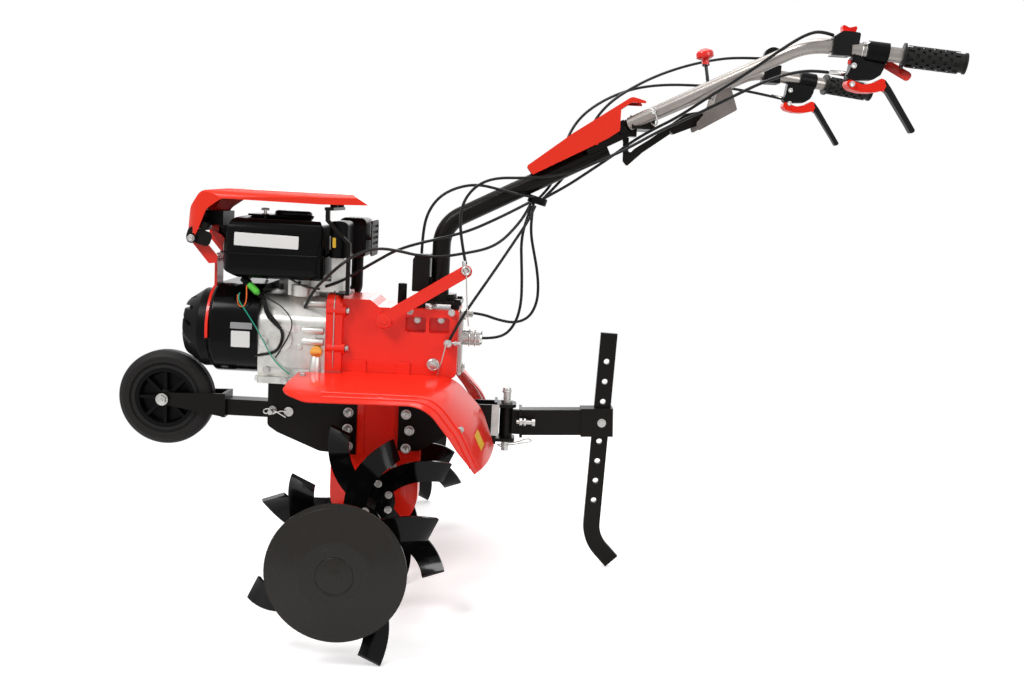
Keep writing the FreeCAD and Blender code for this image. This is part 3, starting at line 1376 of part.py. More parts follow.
def make_cables():
    radius = size("cable_radius")
    for name, route in CABLES.items():
        points = [Vector(*place) for place in route]
        runs = [(b - a) for a, b in zip(points, points[1:])]
        bends = []
        for before, after in zip(runs, runs[1:]):
            half = before.getAngle(after) / 2
            bends.append(0.45 * min(before.Length, after.Length) / math.tan(half))
        print(name, "tightest bend", round(min(bends), 1), "longest run", round(max(r.Length for r in runs), 1))
        finish(shaped(tube(points, bends, radius)), name, AXLE)


for make in (
    make_gearbox, make_leg, make_brackets, make_crankcase, make_cylinder, make_shroud, make_recoil,
    make_tank, make_intake, make_hood, make_hood_mounts, make_fenders, make_tines, make_wheel,
    make_hitch, make_column, make_handle, make_levers, make_cover, make_handle_fittings,
    make_controls, make_cables,
):
    make()
doc.recompute()

for thing in doc.Objects:
    if "Invalid" in thing.State or "Error" in thing.State:
        raise RuntimeError(f"{thing.Name} did not build: {thing.State}")
os.makedirs("parts", exist_ok=True)
for piece in pieces:
    if piece.Shape.isNull() or not piece.Shape.isValid():
        raise RuntimeError(f"{piece.Label} is not a valid shape")
    piece.Shape.exportStep(f"parts/{piece.Label}.step")
print(len(pieces), "pieces")
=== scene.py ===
import json
import math

import bpy
from mathutils import Matrix, Vector


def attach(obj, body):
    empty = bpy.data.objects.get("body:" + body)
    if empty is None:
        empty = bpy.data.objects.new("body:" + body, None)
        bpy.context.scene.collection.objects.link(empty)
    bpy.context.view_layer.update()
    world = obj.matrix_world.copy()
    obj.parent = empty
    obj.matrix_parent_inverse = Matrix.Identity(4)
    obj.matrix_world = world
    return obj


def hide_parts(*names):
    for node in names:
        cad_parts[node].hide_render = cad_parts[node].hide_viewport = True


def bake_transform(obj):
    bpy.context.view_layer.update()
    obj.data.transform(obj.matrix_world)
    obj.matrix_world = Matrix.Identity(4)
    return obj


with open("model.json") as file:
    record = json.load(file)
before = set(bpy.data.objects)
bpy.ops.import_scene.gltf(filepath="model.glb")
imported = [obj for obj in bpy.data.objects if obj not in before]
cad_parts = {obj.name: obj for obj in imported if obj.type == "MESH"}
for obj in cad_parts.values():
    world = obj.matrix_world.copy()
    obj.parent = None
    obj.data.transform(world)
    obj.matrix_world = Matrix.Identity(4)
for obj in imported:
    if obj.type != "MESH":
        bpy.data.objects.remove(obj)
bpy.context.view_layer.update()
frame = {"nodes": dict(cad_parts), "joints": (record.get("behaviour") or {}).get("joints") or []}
bpy.ops.object.select_all(action="DESELECT")

# The machine's own frame: origin on the tine axle, forward to the engine, leaning back on tines and stake.
joints = {joint["name"]: joint for joint in frame["joints"]}
up = Vector(joints["column_swivel"]["axis"])
left = Vector((0, 1, 0))
axle = Vector(joints["tine_spin"]["pos_m"])
machine = Matrix.Translation(axle) @ Matrix((left.cross(up), left, up)).transposed().to_4x4()
mm = 0.001


def spot(x, y, z):
    return machine @ (Vector((x, y, z)) * mm)


# Camera, floor and light.
studio = {
    "eye": (-0.0116, 2.300, 0.789),
    "pitchDown": 7.42,
    "yaw": 0.17,
    "lens": 38.67,
    "sensor": 36,
    "aim": (0.1, 0, 0.45),
    "floorSize": 14,
    "floorDrop": 0.0005,
    "floorTone": 0.82,
    "floorLift": 0.46,
    "floorFade": (1.0, 1.9),
    "skyStrength": 0.30,
    "lamps": {
        "keyLamp": {"at": (1.6, 1.5, 2.6), "size": 1.1, "power": 54},
        "fillLamp": {"at": (-1.9, 1.8, 1.7), "size": 1.4, "power": 22},
        "topLamp": {"at": (0.0, -0.5, 3.0), "size": 2.2, "power": 46},
        "backLamp": {"at": (0.4, -2.4, 1.6), "size": 1.6, "power": 16},
    },
}

cameraData = bpy.data.cameras.new("camera")
cameraData.lens = studio["lens"]
cameraData.sensor_width = studio["sensor"]
camera = bpy.data.objects.new("camera", cameraData)
bpy.context.scene.collection.objects.link(camera)
camera.location = studio["eye"]
camera.rotation_euler = (math.radians(90 - studio["pitchDown"]), 0, math.radians(180 + studio["yaw"]))
bpy.context.scene.camera = camera
bpy.context.scene.view_settings.view_transform = "Standard"

for name, lamp in studio["lamps"].items():
    light = bpy.data.lights.new(name, "AREA")
    light.shape = "DISK"
    light.size = lamp["size"]
    light.energy = lamp["power"]
    holder = bpy.data.objects.new(name, light)
    holder.location = lamp["at"]
    aim = Vector(studio["aim"]) - holder.location
    holder.rotation_euler = aim.to_track_quat("-Z", "Y").to_euler()
    bpy.context.scene.collection.objects.link(holder)


class Value:
    # A socket that can be added, subtracted and multiplied like a number.
    def __init__(self, finish, socket):
        self.finish, self.socket = finish, socket

    def maths(self, operation, first, second):
        return self.finish.node("ShaderNodeMath", {"operation": operation}, first, second)

    def __add__(self, other):
        return self.maths("ADD", self, other)

    def __sub__(self, other):
        return self.maths("SUBTRACT", self, other)

    def __mul__(self, other):
        return self.maths("MULTIPLY", self, other)

    __radd__, __rmul__ = __add__, __mul__


class Finish:
    # A node-based material, or the world, built one node at a time.
    def __init__(self, owner):
        owner.use_nodes = True
        self.owner = owner
        self.tree = owner.node_tree
        self.tree.nodes.clear()

    def node(self, kind, settings=None, *inputs, output=0, **named):
        made = self.tree.nodes.new(kind)
        for setting, value in (settings or {}).items():
            setattr(made, setting, value)
        fed = [(made.inputs[place], value) for place, value in enumerate(inputs) if value is not None]
        fed += [(made.inputs[place.replace("_", " ")], value) for place, value in named.items()]
        for socket, value in fed:
            if isinstance(value, Value):
                self.tree.links.new(value.socket, socket)
            elif isinstance(value, tuple) and len(value) == 3 and socket.type == "RGBA":
                socket.default_value = (*value, 1)
            else:
                socket.default_value = value
        return Value(self, made.outputs[output])

    def objectPoint(self):
        return self.node("ShaderNodeTexCoord", output="Object")

    def noise(self, scale, detail=3.0, roughness=0.55, point=None):
        return self.node("ShaderNodeTexNoise", Vector=point or self.objectPoint(), Scale=scale,
                         Detail=detail, Roughness=roughness)

    def blend(self, share, first, second):
        return self.node("ShaderNodeMix", {"data_type": "RGBA"}, share, None, None, None, None, None,
                         first, second, output=2)

    def rise(self, value, low, high):
        # 0 below low, 1 above high and smooth between them.
        return self.node(
            "ShaderNodeMapRange", {"interpolation_type": "SMOOTHSTEP"}, value, low, high, 0.0, 1.0)

    def bump(self, height, strength, distance=0.0005):
        return self.node("ShaderNodeBump", None, strength, distance, Height=height)

    def past(self, place, direction):
        # How far a point lies beyond a place, along a direction.
        away = self.node("ShaderNodeVectorMath", {"operation": "SUBTRACT"}, self.objectPoint(), tuple(place))
        return self.node(
            "ShaderNodeVectorMath", {"operation": "DOT_PRODUCT"}, away, tuple(direction), output=1)

    def radius(self, place, across=(1.0, 0.0, 1.0)):
        # How far a point lies from a shaft through a place; across holds 0 along the shaft.
        away = self.node("ShaderNodeVectorMath", {"operation": "SUBTRACT"}, self.objectPoint(), tuple(place))
        flat = self.node("ShaderNodeVectorMath", {"operation": "MULTIPLY"}, away, across)
        return self.node("ShaderNodeVectorMath", {"operation": "LENGTH"}, flat, output=1)

    def shade(self, colour, roughness, metallic=0.0, normal=None, **constant):
        parts = {"Base_Color": colour, "Roughness": roughness, "Metallic": metallic, **constant}
        if normal is not None:
            parts["Normal"] = normal
        self.surface(self.node("ShaderNodeBsdfPrincipled", None, **parts))
        return self.owner

    def surface(self, shader):
        kind = "World" if isinstance(self.owner, bpy.types.World) else "Material"
        end = self.tree.nodes.new("ShaderNodeOutput" + kind)
        self.tree.links.new(shader.socket, end.inputs["Surface"])


def newFinish(name):
    return Finish(bpy.data.materials.new(name))


def seen(finish):
    # 1 where the eye looks directly, or in a reflection or through glass, at the background.
    path = finish.tree.nodes.new("ShaderNodeLightPath")
    rays = ("Is Camera Ray", "Is Glossy Ray", "Is Transmission Ray")
    straight, mirrored, through = (Value(finish, path.outputs[name]) for name in rays)
    return straight + mirrored + through


sky = bpy.data.worlds.new("studioSky")
bpy.context.scene.world = sky
skyFinish = Finish(sky)
skyFinish.surface(skyFinish.node(
    "ShaderNodeBackground", None, (1.0, 1.0, 1.0),
    studio["skyStrength"] + (1 - studio["skyStrength"]) * seen(skyFinish)))

bpy.ops.mesh.primitive_plane_add(size=studio["floorSize"], location=(0, 0, -studio["floorDrop"]))
floor = bpy.context.object
floor.name = "floor"
floorFinish = newFinish("paleFloor")
tone = studio["floorTone"]
reach = floorFinish.rise(floorFinish.radius((0, 0, 0), (1.0, 1.0, 0.0)), *studio["floorFade"])
near = floorFinish.node(
    "ShaderNodeAddShader", None,
    floorFinish.node("ShaderNodeBsdfDiffuse", None, (tone, tone, tone)),
    floorFinish.node("ShaderNodeEmission", None, (1.0, 1.0, 1.0), studio["floorLift"] * seen(floorFinish)))
far = floorFinish.node("ShaderNodeEmission", None, (1.0, 1.0, 1.0), seen(floorFinish))
floorFinish.surface(floorFinish.node("ShaderNodeMixShader", None, reach, near, far))
floor.data.materials.append(floorFinish.owner)
print("studio set")


# Shaping. Places and sizes are millimetres of the machine's frame until a piece is settled.
bevelFrom = math.radians(40)
smoothBelow = math.radians(35)


def only(*things):
    bpy.ops.object.select_all(action="DESELECT")
    for thing in things:
        thing.select_set(True)
    bpy.context.view_layer.objects.active = things[0]


def bevelled(part, width, segments=2):
    if width:
        bevel = part.modifiers.new("edges", "BEVEL")
        bevel.width, bevel.segments, bevel.limit_method = width * mm, segments, "ANGLE"
        bevel.angle_limit = bevelFrom
        only(part)
        bpy.ops.object.modifier_apply(modifier=bevel.name)
    return part


def block(low, high, edge=0.8):
    low, high = Vector(low) * mm, Vector(high) * mm
    bpy.ops.mesh.primitive_cube_add(size=1, location=(low + high) / 2, scale=high - low)
    return bevelled(bpy.context.object, edge)


def drum(start, end, radius, tip=None, edge=0.6, sides=32):
    # A turned piece from start to end; tip is the radius at the end.
    start, end = Vector(start) * mm, Vector(end) * mm
    run = end - start
    bpy.ops.mesh.primitive_cone_add(
        vertices=sides, radius1=radius * mm, radius2=(radius if tip is None else tip) * mm, depth=run.length,
        location=(start + end) / 2, rotation=run.to_track_quat("Z", "Y").to_euler())
    return bevelled(bpy.context.object, edge)


def hoop(at, axis, radius, thick, sides=48):
    bpy.ops.mesh.primitive_torus_add(
        major_segments=sides, minor_segments=10, major_radius=radius * mm, minor_radius=thick * mm,
        location=Vector(at) * mm, rotation=Vector(axis).to_track_quat("Z", "Y").to_euler())
    return bpy.context.object


def joined(*parts):
    # A bevel leaves some parts turned, so each is put in its mesh first.
    for part in parts:
        only(part)
        bpy.ops.object.transform_apply(location=True, rotation=True, scale=True)
    only(*parts)
    if len(parts) > 1:
        bpy.ops.object.join()
    return bpy.context.object


# Washer, corner, rim and fall are shares of the width across the flats. The rest is in millimetres.
boltShape = {"washer": 0.66, "washerThick": 1.6, "headFrom": 1.2, "corner": 0.577, "rim": 0.13, "fall": 0.05,
             "dish": 0.5, "edge": 0.4}


def boltHead(across, tall):
    # A hexagon on its washer, dished in the top.
    edge, washerTop, foot = (boltShape[part] for part in ("edge", "washerThick", "headFrom"))
    washer = drum((0, 0, 0), (0, 0, washerTop), across * boltShape["washer"], edge=edge, sides=28)
    head = drum((0, 0, foot), (0, 0, tall), across * boltShape["corner"], edge=0.0, sides=6)
    only(head)
    bpy.ops.object.mode_set(mode="EDIT")
    bpy.ops.mesh.select_all(action="DESELECT")
    bpy.ops.object.mode_set(mode="OBJECT")
    for face in head.data.polygons:
        face.select = face.normal.z > 0.9
    bpy.ops.object.mode_set(mode="EDIT")
    bpy.ops.mesh.inset(thickness=across * boltShape["rim"] * mm, depth=0)
    bpy.ops.mesh.inset(thickness=across * boltShape["fall"] * mm, depth=-boltShape["dish"] * mm)
    bpy.ops.object.mode_set(mode="OBJECT")
    return joined(washer, bevelled(head, edge, 1))


def setOut(model, places):
    # Copies of one model, each with its own mesh, at (place, direction) pairs; the model itself goes.
    copies = []
    for place, direction in places:
        twin = model.copy()
        twin.data = model.data.copy()
        bpy.context.scene.collection.objects.link(twin)
        turn = Vector(direction).to_track_quat("Z", "Y").to_matrix().to_4x4()
        twin.data.transform(Matrix.Translation(Vector(place) * mm) @ turn @ model.matrix_world)
        twin.matrix_world = Matrix.Identity(4)
        copies.append(twin)
    bpy.data.objects.remove(model)
    return copies


def settle(name, body, slot, finish, *parts):
    # Puts a piece together in the row frame, gives it its finish and ties it to its body.
    piece = joined(*parts)
    piece.name = piece.data.name = name
    piece.data.transform(machine)
    piece.data.materials.clear()
    piece.data.materials.append(finishes[finish])
    only(piece)
    bpy.ops.object.shade_smooth_by_angle(angle=smoothBelow)
    if body:
        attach(piece, body)
    return piece


# Finishes. Tones are linear. Each kind of unevenness is waves to the metre, detail and roughness.
finishes = {}
uneven = {
    "drift": (9.0, 4.0),
    "stain": (24.0, 6.0, 0.65),
    "handling": (30.0, 4.0),
    "smudge": (38.0, 6.0, 0.7),
    "wear": (45.0, 6.0, 0.7),
    "scuff": (60.0, 7.0, 0.75),
    "peel": (420.0, 2.0),
    "tooling": (900.0, 2.0),
    "softStipple": (1400.0, 2.0),
    "stipple": (1500.0, 2.0),
}


def painted(name, tone, rough, coat, peel=0.05, smudge=0.06, spread=0.10, shine=0.5):
    # Paint over metal: a soft orange peel, hand smudges in the gloss and a little drift in the colour.
    finish = newFinish(name)
    drift = finish.noise(*uneven["drift"])
    dark = tuple(part * (1 - spread) for part in tone)
    light = tuple(min(1.0, part * (1 + spread)) for part in tone)
    worn = finish.noise(*uneven["smudge"])
    finishes[name] = finish.shade(
        finish.blend(drift, dark, light), rough + smudge * (worn - 0.5),
        normal=finish.bump(finish.noise(*uneven["peel"]), peel), Coat_Weight=coat, Coat_Roughness=0.06,
        Specular_IOR_Level=shine)


def moulded(name, tone, rough, grain, coat=0.0, shine=0.35):
    # Plastic or rubber: a fine stipple and paler scuffs.
    finish = newFinish(name)
    scuff = finish.rise(finish.noise(*uneven["scuff"]), 0.58, 0.8)
    pale = tuple(min(1.0, part * 1.5 + 0.006) for part in tone)
    finishes[name] = finish.shade(
        finish.blend(scuff * 0.5, tone, pale), rough + 0.1 * scuff,
        normal=finish.bump(finish.noise(*uneven["stipple"]), grain, 0.0003), Coat_Weight=coat,
        Coat_Roughness=0.1, Specular_IOR_Level=shine)


def metal(name, tone, rough, grain, scale=900.0, stain=0.25, metallic=0.9):
    # Bare, plated or cast metal: grain in the surface and duller stains.
    finish = newFinish(name)
    stained = finish.rise(finish.noise(*uneven["stain"]), 0.35, 0.75)
    dull = tuple(part * (1 - stain) for part in tone)
    finishes[name] = finish.shade(
        finish.blend(stained, tone, dull), rough + 0.12 * stained, metallic,
        finish.bump(finish.noise(scale, 3.0), grain, 0.0004))


def twoTone(name, first, second, place, direction, rough, coat=0.2, edge=0.0006, shine=0.25):
    # One tone up to a place and another beyond it, where two mouldings meet.
    finish = newFinish(name)
    beyond = finish.rise(finish.past(place, direction), -edge, edge)
    handled = finish.noise(*uneven["handling"])
    finishes[name] = finish.shade(
        finish.blend(beyond, first, second), rough + 0.12 * (handled - 0.5),
        normal=finish.bump(finish.noise(*uneven["softStipple"]), 0.05, 0.0003), Coat_Weight=coat,
        Coat_Roughness=0.1, Specular_IOR_Level=shine)


def ringed(name, tone, rough, place, rings, grain, coat=0.0):
    # Turned or moulded in rings about a shaft; each ring is a radius and a width.
    finish = newFinish(name)
    away = finish.radius(place)
    height = 0.0
    for radius, width in rings:
        height = height + finish.rise(away, radius - width, radius - width * 0.6) \
            - finish.rise(away, radius + width * 0.6, radius + width)
    worn = finish.rise(finish.noise(*uneven["wear"]), 0.5, 0.85)
    pale = tuple(part * 1.3 + 0.001 for part in tone)
    finishes[name] = finish.shade(
        finish.blend(worn * 0.5, tone, pale), rough + 0.1 * worn,
        normal=finish.bump(height + finish.noise(*uneven["tooling"]) * grain, 0.5, 0.0008),
        Coat_Weight=coat, Coat_Roughness=0.08, Specular_IOR_Level=0.18)


# Paints: tone, roughness and coat.
black = (0.004, 0.004, 0.004)
painted("redPaint", (0.88, 0.022, 0.007), 0.30, 0.30, spread=0.06, shine=0.3)
painted("redMoulding", (0.86, 0.026, 0.006), 0.26, 0.16, peel=0.03, spread=0.05, shine=0.22)
painted("satinBlack", (0.0075, 0.0060, 0.0050), 0.30, 0.0, peel=0.12, shine=0.11)
painted("glossBlack", (0.002, 0.002, 0.002), 0.15, 0.03, peel=0.02, shine=0.07)
painted("tineEnamel", (0.0025, 0.0025, 0.0025), 0.13, 0.05, peel=0.10, smudge=0.10, shine=0.12)
painted("stoveBlack", (0.006, 0.005, 0.005), 0.42, 0.0, peel=0.2, shine=0.12)
painted("yellowPlastic", (0.85, 0.42, 0.06), 0.35, 0.3, peel=0.03)
painted("whitePlate", (0.80, 0.80, 0.78), 0.35, 0.2, peel=0.02, spread=0.02)
painted("greyPlate", (0.30, 0.30, 0.31), 0.4, 0.1, peel=0.02, spread=0.05)
painted("yellowPlate", (0.85, 0.50, 0.02), 0.35, 0.2, peel=0.02, spread=0.04)
# Plastics and rubber, then metals: tone, roughness and grain.
moulded("blackPlastic", (0.003, 0.003, 0.003), 0.34, 0.18, shine=0.08)
moulded("gripRubber", (0.007, 0.0065, 0.006), 0.5, 0.25, shine=0.2)
moulded("cableJacket", (0.004, 0.004, 0.004), 0.34, 0.06, shine=0.22)
moulded("orangeJacket", (0.85, 0.16, 0.02), 0.4, 0.05, coat=0.2)
moulded("greenJacket", (0.01, 0.30, 0.20), 0.4, 0.05, coat=0.2)
moulded("greenPlastic", (0.10, 0.62, 0.05), 0.4, 0.08, coat=0.2)
moulded("redPlastic", (0.90, 0.020, 0.006), 0.34, 0.06, coat=0.4)
metal("castAluminium", (0.62, 0.61, 0.58), 0.36, 0.65, 650.0)
metal("greyTube", (0.31, 0.285, 0.265), 0.27, 0.10, 700.0, stain=0.12, metallic=0.75)
metal("greyPressing", (0.20, 0.175, 0.160), 0.42, 0.2, 700.0, stain=0.2, metallic=0.5)
metal("zinc", (0.52, 0.51, 0.49), 0.30, 0.14)
metal("brightSteel", (0.62, 0.61, 0.59), 0.18, 0.05, stain=0.2, metallic=1.0)

# Where two tones of one moulding meet, and the rings of the tyre and the guard discs: radius and width.
meeting = {"knob": (-642, 0, 926), "rocker": (-850, 240, 967), "blade": (-930, 240, 870)}
wheelHub = (448, 0, 181)
tyreRings = [(0.094, 0.0012), (0.078, 0.0010), (0.066, 0.0012)]
discRings = [(0.045, 0.0015), (0.047, 0.0008), (0.112, 0.0010)]
ringed("tyreRubber", (0.011, 0.010, 0.0095), 0.55, spot(*wheelHub), tyreRings, 0.25)
ringed("discEnamel", (0.018, 0.015, 0.0125), 0.26, axle, discRings, 0.02, coat=0.05)
twoTone("knobRed", black, (0.85, 0.012, 0.006), spot(*meeting["knob"]), up, 0.3, coat=0.5)
twoTone("rockerRed", black, (0.85, 0.012, 0.006), spot(*meeting["rocker"]), up, 0.35, coat=0.0, shine=0.1)
twoTone("leverBlade", (0.90, 0.020, 0.006), black, spot(*meeting["blade"]), -machine.to_3x3().col[0], 0.3,
        coat=0.0, shine=0.12)

nodeFinish = {
    "redPaint": "gearbox drive_leg fender_left fender_right clutch_arm hood_arms",
    "redMoulding": "hood handle_cover",
    "satinBlack": "front_bracket rear_bracket wheel_arm column column_base hitch_bar drag_stake lock_lever "
                  "handle_yoke hood_post tine_axle",
    "castAluminium": "crankcase cylinder carburettor",
    "glossBlack": "fan_shroud fuel_tank filler_cap",
    "blackPlastic": "recoil_starter air_cleaner headlamp wheel_rim throttle lever_brackets",
    "stoveBlack": "muffler",
    "tyreRubber": "tyre",
    "gripRubber": "grips",
    "greyTube": "handle_tubes",
    "greyPressing": "control_plate",
    "zinc": "hitch_pin stake_pin selector_housing arm_bolt lock_pin",
    "discEnamel": "guard_discs",
    "knobRed": "gear_lever",
    "rockerRed": "engine_switch",
    "leverBlade": "clutch_levers",
}
chosen = {node: finishes[name] for name, nodes in nodeFinish.items() for node in nodes.split()}
for name, node in frame["nodes"].items():
    node.data.materials.clear()
    node.data.materials.append(chosen.get(name, finishes["tineEnamel"]))
print("finishes set")

# Cables. Each route is the one its CAD node follows, in millimetres of the machine.
cableRoutes = {
    "cable_column": ("column", [
        (-306, 18, 640), (-274, 26, 643), (-233, 33, 652), (-190, 39, 660), (-149, 41, 652), (-113, 38, 632),
        (-90, 32, 599), (-81, 27, 559), (-80, 24, 512.6),
    ]),
    "cable_clutch": ("clutch", [
        (-384, 32, 696), (-331, 37, 682), (-280, 39, 677), (-228, 43, 675), (-192, 50, 661), (-167, 60, 633),
        (-158, 72, 599), (-162, 84, 551), (-175, 92, 498.5),
    ]),
    "cable_choke": ("lower", [
        (-306, 8, 634), (-268, 26, 612), (-228, 40, 590), (-178, 50, 565), (-124, 58, 548), (-69, 66, 533),
        (-30, 74, 518), (2, 78, 498), (40, 79, 474), (76, 80, 450), (108, 73, 438),
    ]),
    "cable_governor": ("lower", [
        (-302, 0, 632), (-290, 8, 603), (-268, 20, 573), (-244, 34, 547), (-215, 46, 530), (-170, 56, 519),
        (-120, 66, 509), (-76, 78, 511), (-40, 94, 519), (-2, 114, 524), (34, 139, 514), (66, 151, 490),
        (98, 138, 460), (128, 108, 430), (150, 67, 392.9),
    ]),
    "cable_latch": ("lower", [
        (-306, -16, 630), (-303, -20, 595), (-304, -23, 561), (-312, -25, 526), (-321, -26, 488),
        (-326, -25, 450), (-324, -22, 416), (-309, -18, 386), (-279, -12, 374), (-243, -6, 380),
        (-214, -2, 390), (-191.6, 0, 392),
    ]),
    "cable_selector": ("lower", [
        (-302, -8, 622), (-290, -3, 586), (-284, 2, 546), (-287, 5, 505), (-290, 6, 463), (-291, 6, 421),
        (-284, 5, 383), (-266, 3, 353), (-238, 1, 341), (-211.4, 0, 340),
    ]),
    "cable_gear": ("lower", [
        (-309, 14, 622), (-298, 24, 594), (-278, 34, 561), (-250, 45, 515), (-220, 58, 467), (-190, 71, 420),
        (-166, 80, 380), (-148, 85, 341),
    ]),
    "cable_clutch_upper": ("upper", [
        (-857.8, -242, 890), (-812, -236, 897), (-766, -224, 902), (-714, -205, 905), (-655, -180, 903),
        (-584, -148, 898), (-521, -118, 886), (-473, -92, 867), (-433, -72, 844), (-400, -60, 817),
        (-378, -54, 786), (-366, -49, 752), (-357, -43, 714), (-346, -34, 680), (-332, -22, 655),
        (-316, -13, 638),
    ]),
    "cable_throttle": ("upper", [
        (-805.2, -231, 975), (-742, -211, 972), (-678, -182, 958), (-614, -146, 937), (-555, -112, 911),
        (-504, -87, 882), (-461, -70, 851), (-431, -60, 817), (-414, -53, 780), (-402, -48, 744),
        (-384, -40, 709), (-356, -22, 671), (-322, -5, 634),
    ]),
    "cable_switch": ("upper", [
        (-830.8, 238, 960), (-806, 247, 965), (-780, 252, 958), (-750, 245, 939), (-716, 222, 912),
        (-676, 188, 881), (-626, 140, 846), (-578, 86, 810), (-538, 64, 788), (-500, 44, 764),
        (-460, 26, 731), (-414, 18, 697), (-366, 14, 662), (-322, 13, 636),
    ]),
    "cable_lever": ("upper", [
        (-857.2, 242, 890), (-812, 228, 898), (-768, 205, 894), (-722, 178, 877), (-676, 149, 852),
        (-626, 118, 824), (-578, 90, 800), (-538, 68, 778), (-500, 50, 754), (-462, 39, 733), (-424, 34, 715),
        (-387, 32, 697),
    ]),
}

# The two bodies that a cable joins, and the places between which it goes over from one to the other. The loop
# below unpacks them but uses none: such a cable stays where it lies, tied to neither body.
bends = {
    "clutch": ("chassis", "column", (-175, 0, 520), (-300, 0, 680)),
    "lower": ("chassis", "column", (-150, 0, 450), (-290, 0, 600)),
    "upper": ("column", "handle", (-405, 0, 700), (-530, 0, 840)),
}
cableRadius = 3.0


def strand(name, points, radius, sides=3):
    # A smooth round strand through a given route.
    curve = bpy.data.curves.new(name, "CURVE")
    curve.dimensions = "3D"
    spline = curve.splines.new("NURBS")
    spline.points.add(len(points) - 1)
    for point, place in zip(spline.points, points):
        point.co = (*(Vector(place) * mm), 1)
    spline.order_u = 3
    spline.use_endpoint_u = True
    spline.resolution_u = 8
    curve.bevel_depth = radius * mm
    curve.bevel_resolution = sides
    curve.use_fill_caps = True
    thing = bpy.data.objects.new(name, curve)
    bpy.context.scene.collection.objects.link(thing)
    only(thing)
    bpy.ops.object.convert(target="MESH")
    return bpy.context.object


for name, (plan, route) in cableRoutes.items():
    cable = settle(name + "_jacket", None, "cable_rubber", "cableJacket", strand(name, route, cableRadius))
    if plan in bends:
        first, second, start, end = bends[plan]
        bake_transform(cable)
    else:
        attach(cable, plan)
    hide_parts(name)
print("cables laid")


# Shapes and fixings that several pieces use.
bothSides = (1, -1)
leftward, upward, forward, backward = (0, 1, 0), (0, 0, 1), (1, 0, 0), (-1, 0, 0)


def plate(centre, outward, along, long, tall, thick=0.8, corner=2.0, edge=0.2):
    # A flat plate with round corners: long runs along, thick stands outward.
    bpy.ops.mesh.primitive_cube_add(size=1)
    part = bpy.context.object
    part.data.transform(Matrix.Diagonal((long * mm, tall * mm, thick * mm, 1)))
    bpy.ops.object.mode_set(mode="EDIT")
    bpy.ops.mesh.select_mode(type="EDGE")
    bpy.ops.mesh.select_all(action="DESELECT")
    bpy.ops.object.mode_set(mode="OBJECT")
    corners = part.data.vertices
    for line in part.data.edges:
        first, second = (corners[end].co for end in line.vertices)
        line.select = abs(first.z - second.z) > thick * mm * 0.5
    bpy.ops.object.mode_set(mode="EDIT")
    bpy.ops.mesh.bevel(offset=corner * mm, segments=5)
    bpy.ops.object.mode_set(mode="OBJECT")
    out = Vector(outward).normalized()
    side = (Vector(along) - out * Vector(along).dot(out)).normalized()
    turn = Matrix((side, out.cross(side), out)).transposed().to_4x4()
    part.data.transform(Matrix.Translation(Vector(centre) * mm) @ turn)
    return bevelled(part, edge, 1)


def turned(foot, way, steps):
    # Drums along one shaft. Each step is its start, end and radius, then what sets it apart.
    foot, way = Vector(foot), Vector(way)
    return [drum(foot + way * start, foot + way * end, radius, **rest) for start, end, radius, rest in steps]


def bolts(name, body, across, tall, places):
    return settle(name, body, "zinc_steel", "zinc", *setOut(boltHead(across, tall), places))


def onBothSides(x, y, z):
    # A pair of places left and right, each with the side it faces.
    return [((x, side * y, z), (0, side, 0)) for side in bothSides]


# Tank: the lip where its halves meet, the raised top and neck ring, and the tap.
tankSeam = {"centre": (211, 0, 499), "outward": upward, "along": forward, "long": 217, "tall": 233,
            "thick": 2.6, "corner": 32, "edge": 0.9}
tankRib = {"centre": (232, 0, 575), "outward": upward, "along": forward, "long": 84, "tall": 120,
           "thick": 4, "corner": 10, "edge": 1.4}
tankNeck = {"at": (191, 0, 575.5), "axis": upward, "radius": 40, "thick": 2.4, "sides": 64}
tankTap = {
    "stem": [(572, 590, 3.2, {"edge": 0.5, "sides": 20})],
    "collar": [(574, 578, 7, {"edge": 0.8, "sides": 24})],
    "bar": [(233, 249, 2.6, {"edge": 0.6, "sides": 16})],
    "x": 241, "y": 40, "barHeight": 587,
}
settle("tank_seam", "chassis", "gloss_black", "glossBlack", plate(**tankSeam))
settle("tank_rib", "chassis", "gloss_black", "glossBlack", plate(**tankRib), hoop(**tankNeck))
settle("tank_tap", "chassis", "zinc_steel", "zinc",
       *turned((tankTap["x"], tankTap["y"], 0), upward, tankTap["stem"]),
       *turned((0, tankTap["y"], tankTap["barHeight"]), forward, tankTap["bar"]),
       *turned((tankTap["x"], tankTap["y"], 0), upward, tankTap["collar"]))

# Blank plates, by finish. Each is its centre, outward, along, long, tall and corner.
plateThick = 0.7
blankPlates = {
    "whitePlate": ("blank_plates", [
        ((222, 110.4, 526), (0, 1, 0.02), (1, 0, 0.022), 128, 26, 2),
        ((274, 92.9, 324), (0, 1, -0.03), forward, 38, 33, 2),
        ((183, 91.2, 350.5), leftward, forward, 58, 14, 2),
        ((101, 77.2, 527), (0.83, 0.56, 0), upward, 28, 6, 1),
    ]),
    "greyPlate": ("grey_plate", [((273, 92.8, 351.5), (0, 1, 0.06), forward, 44, 13, 2)]),
    "yellowPlate": ("yellow_plates", [
        ((91.5, 83.7, 528), (0.22, 0.98, 0), upward, 20, 7, 1),
        ((-222, 201, 165.5), (-0.89, 0.21, 0.4), (0.1, 0.98, -0.18), 32, 33, 1.5),
    ]),
}
for finish, (name, places) in blankPlates.items():
    settle(name, "chassis", None, finish, *[
        plate(centre, outward, along, long, tall, plateThick, corner)
        for centre, outward, along, long, tall, corner in places])
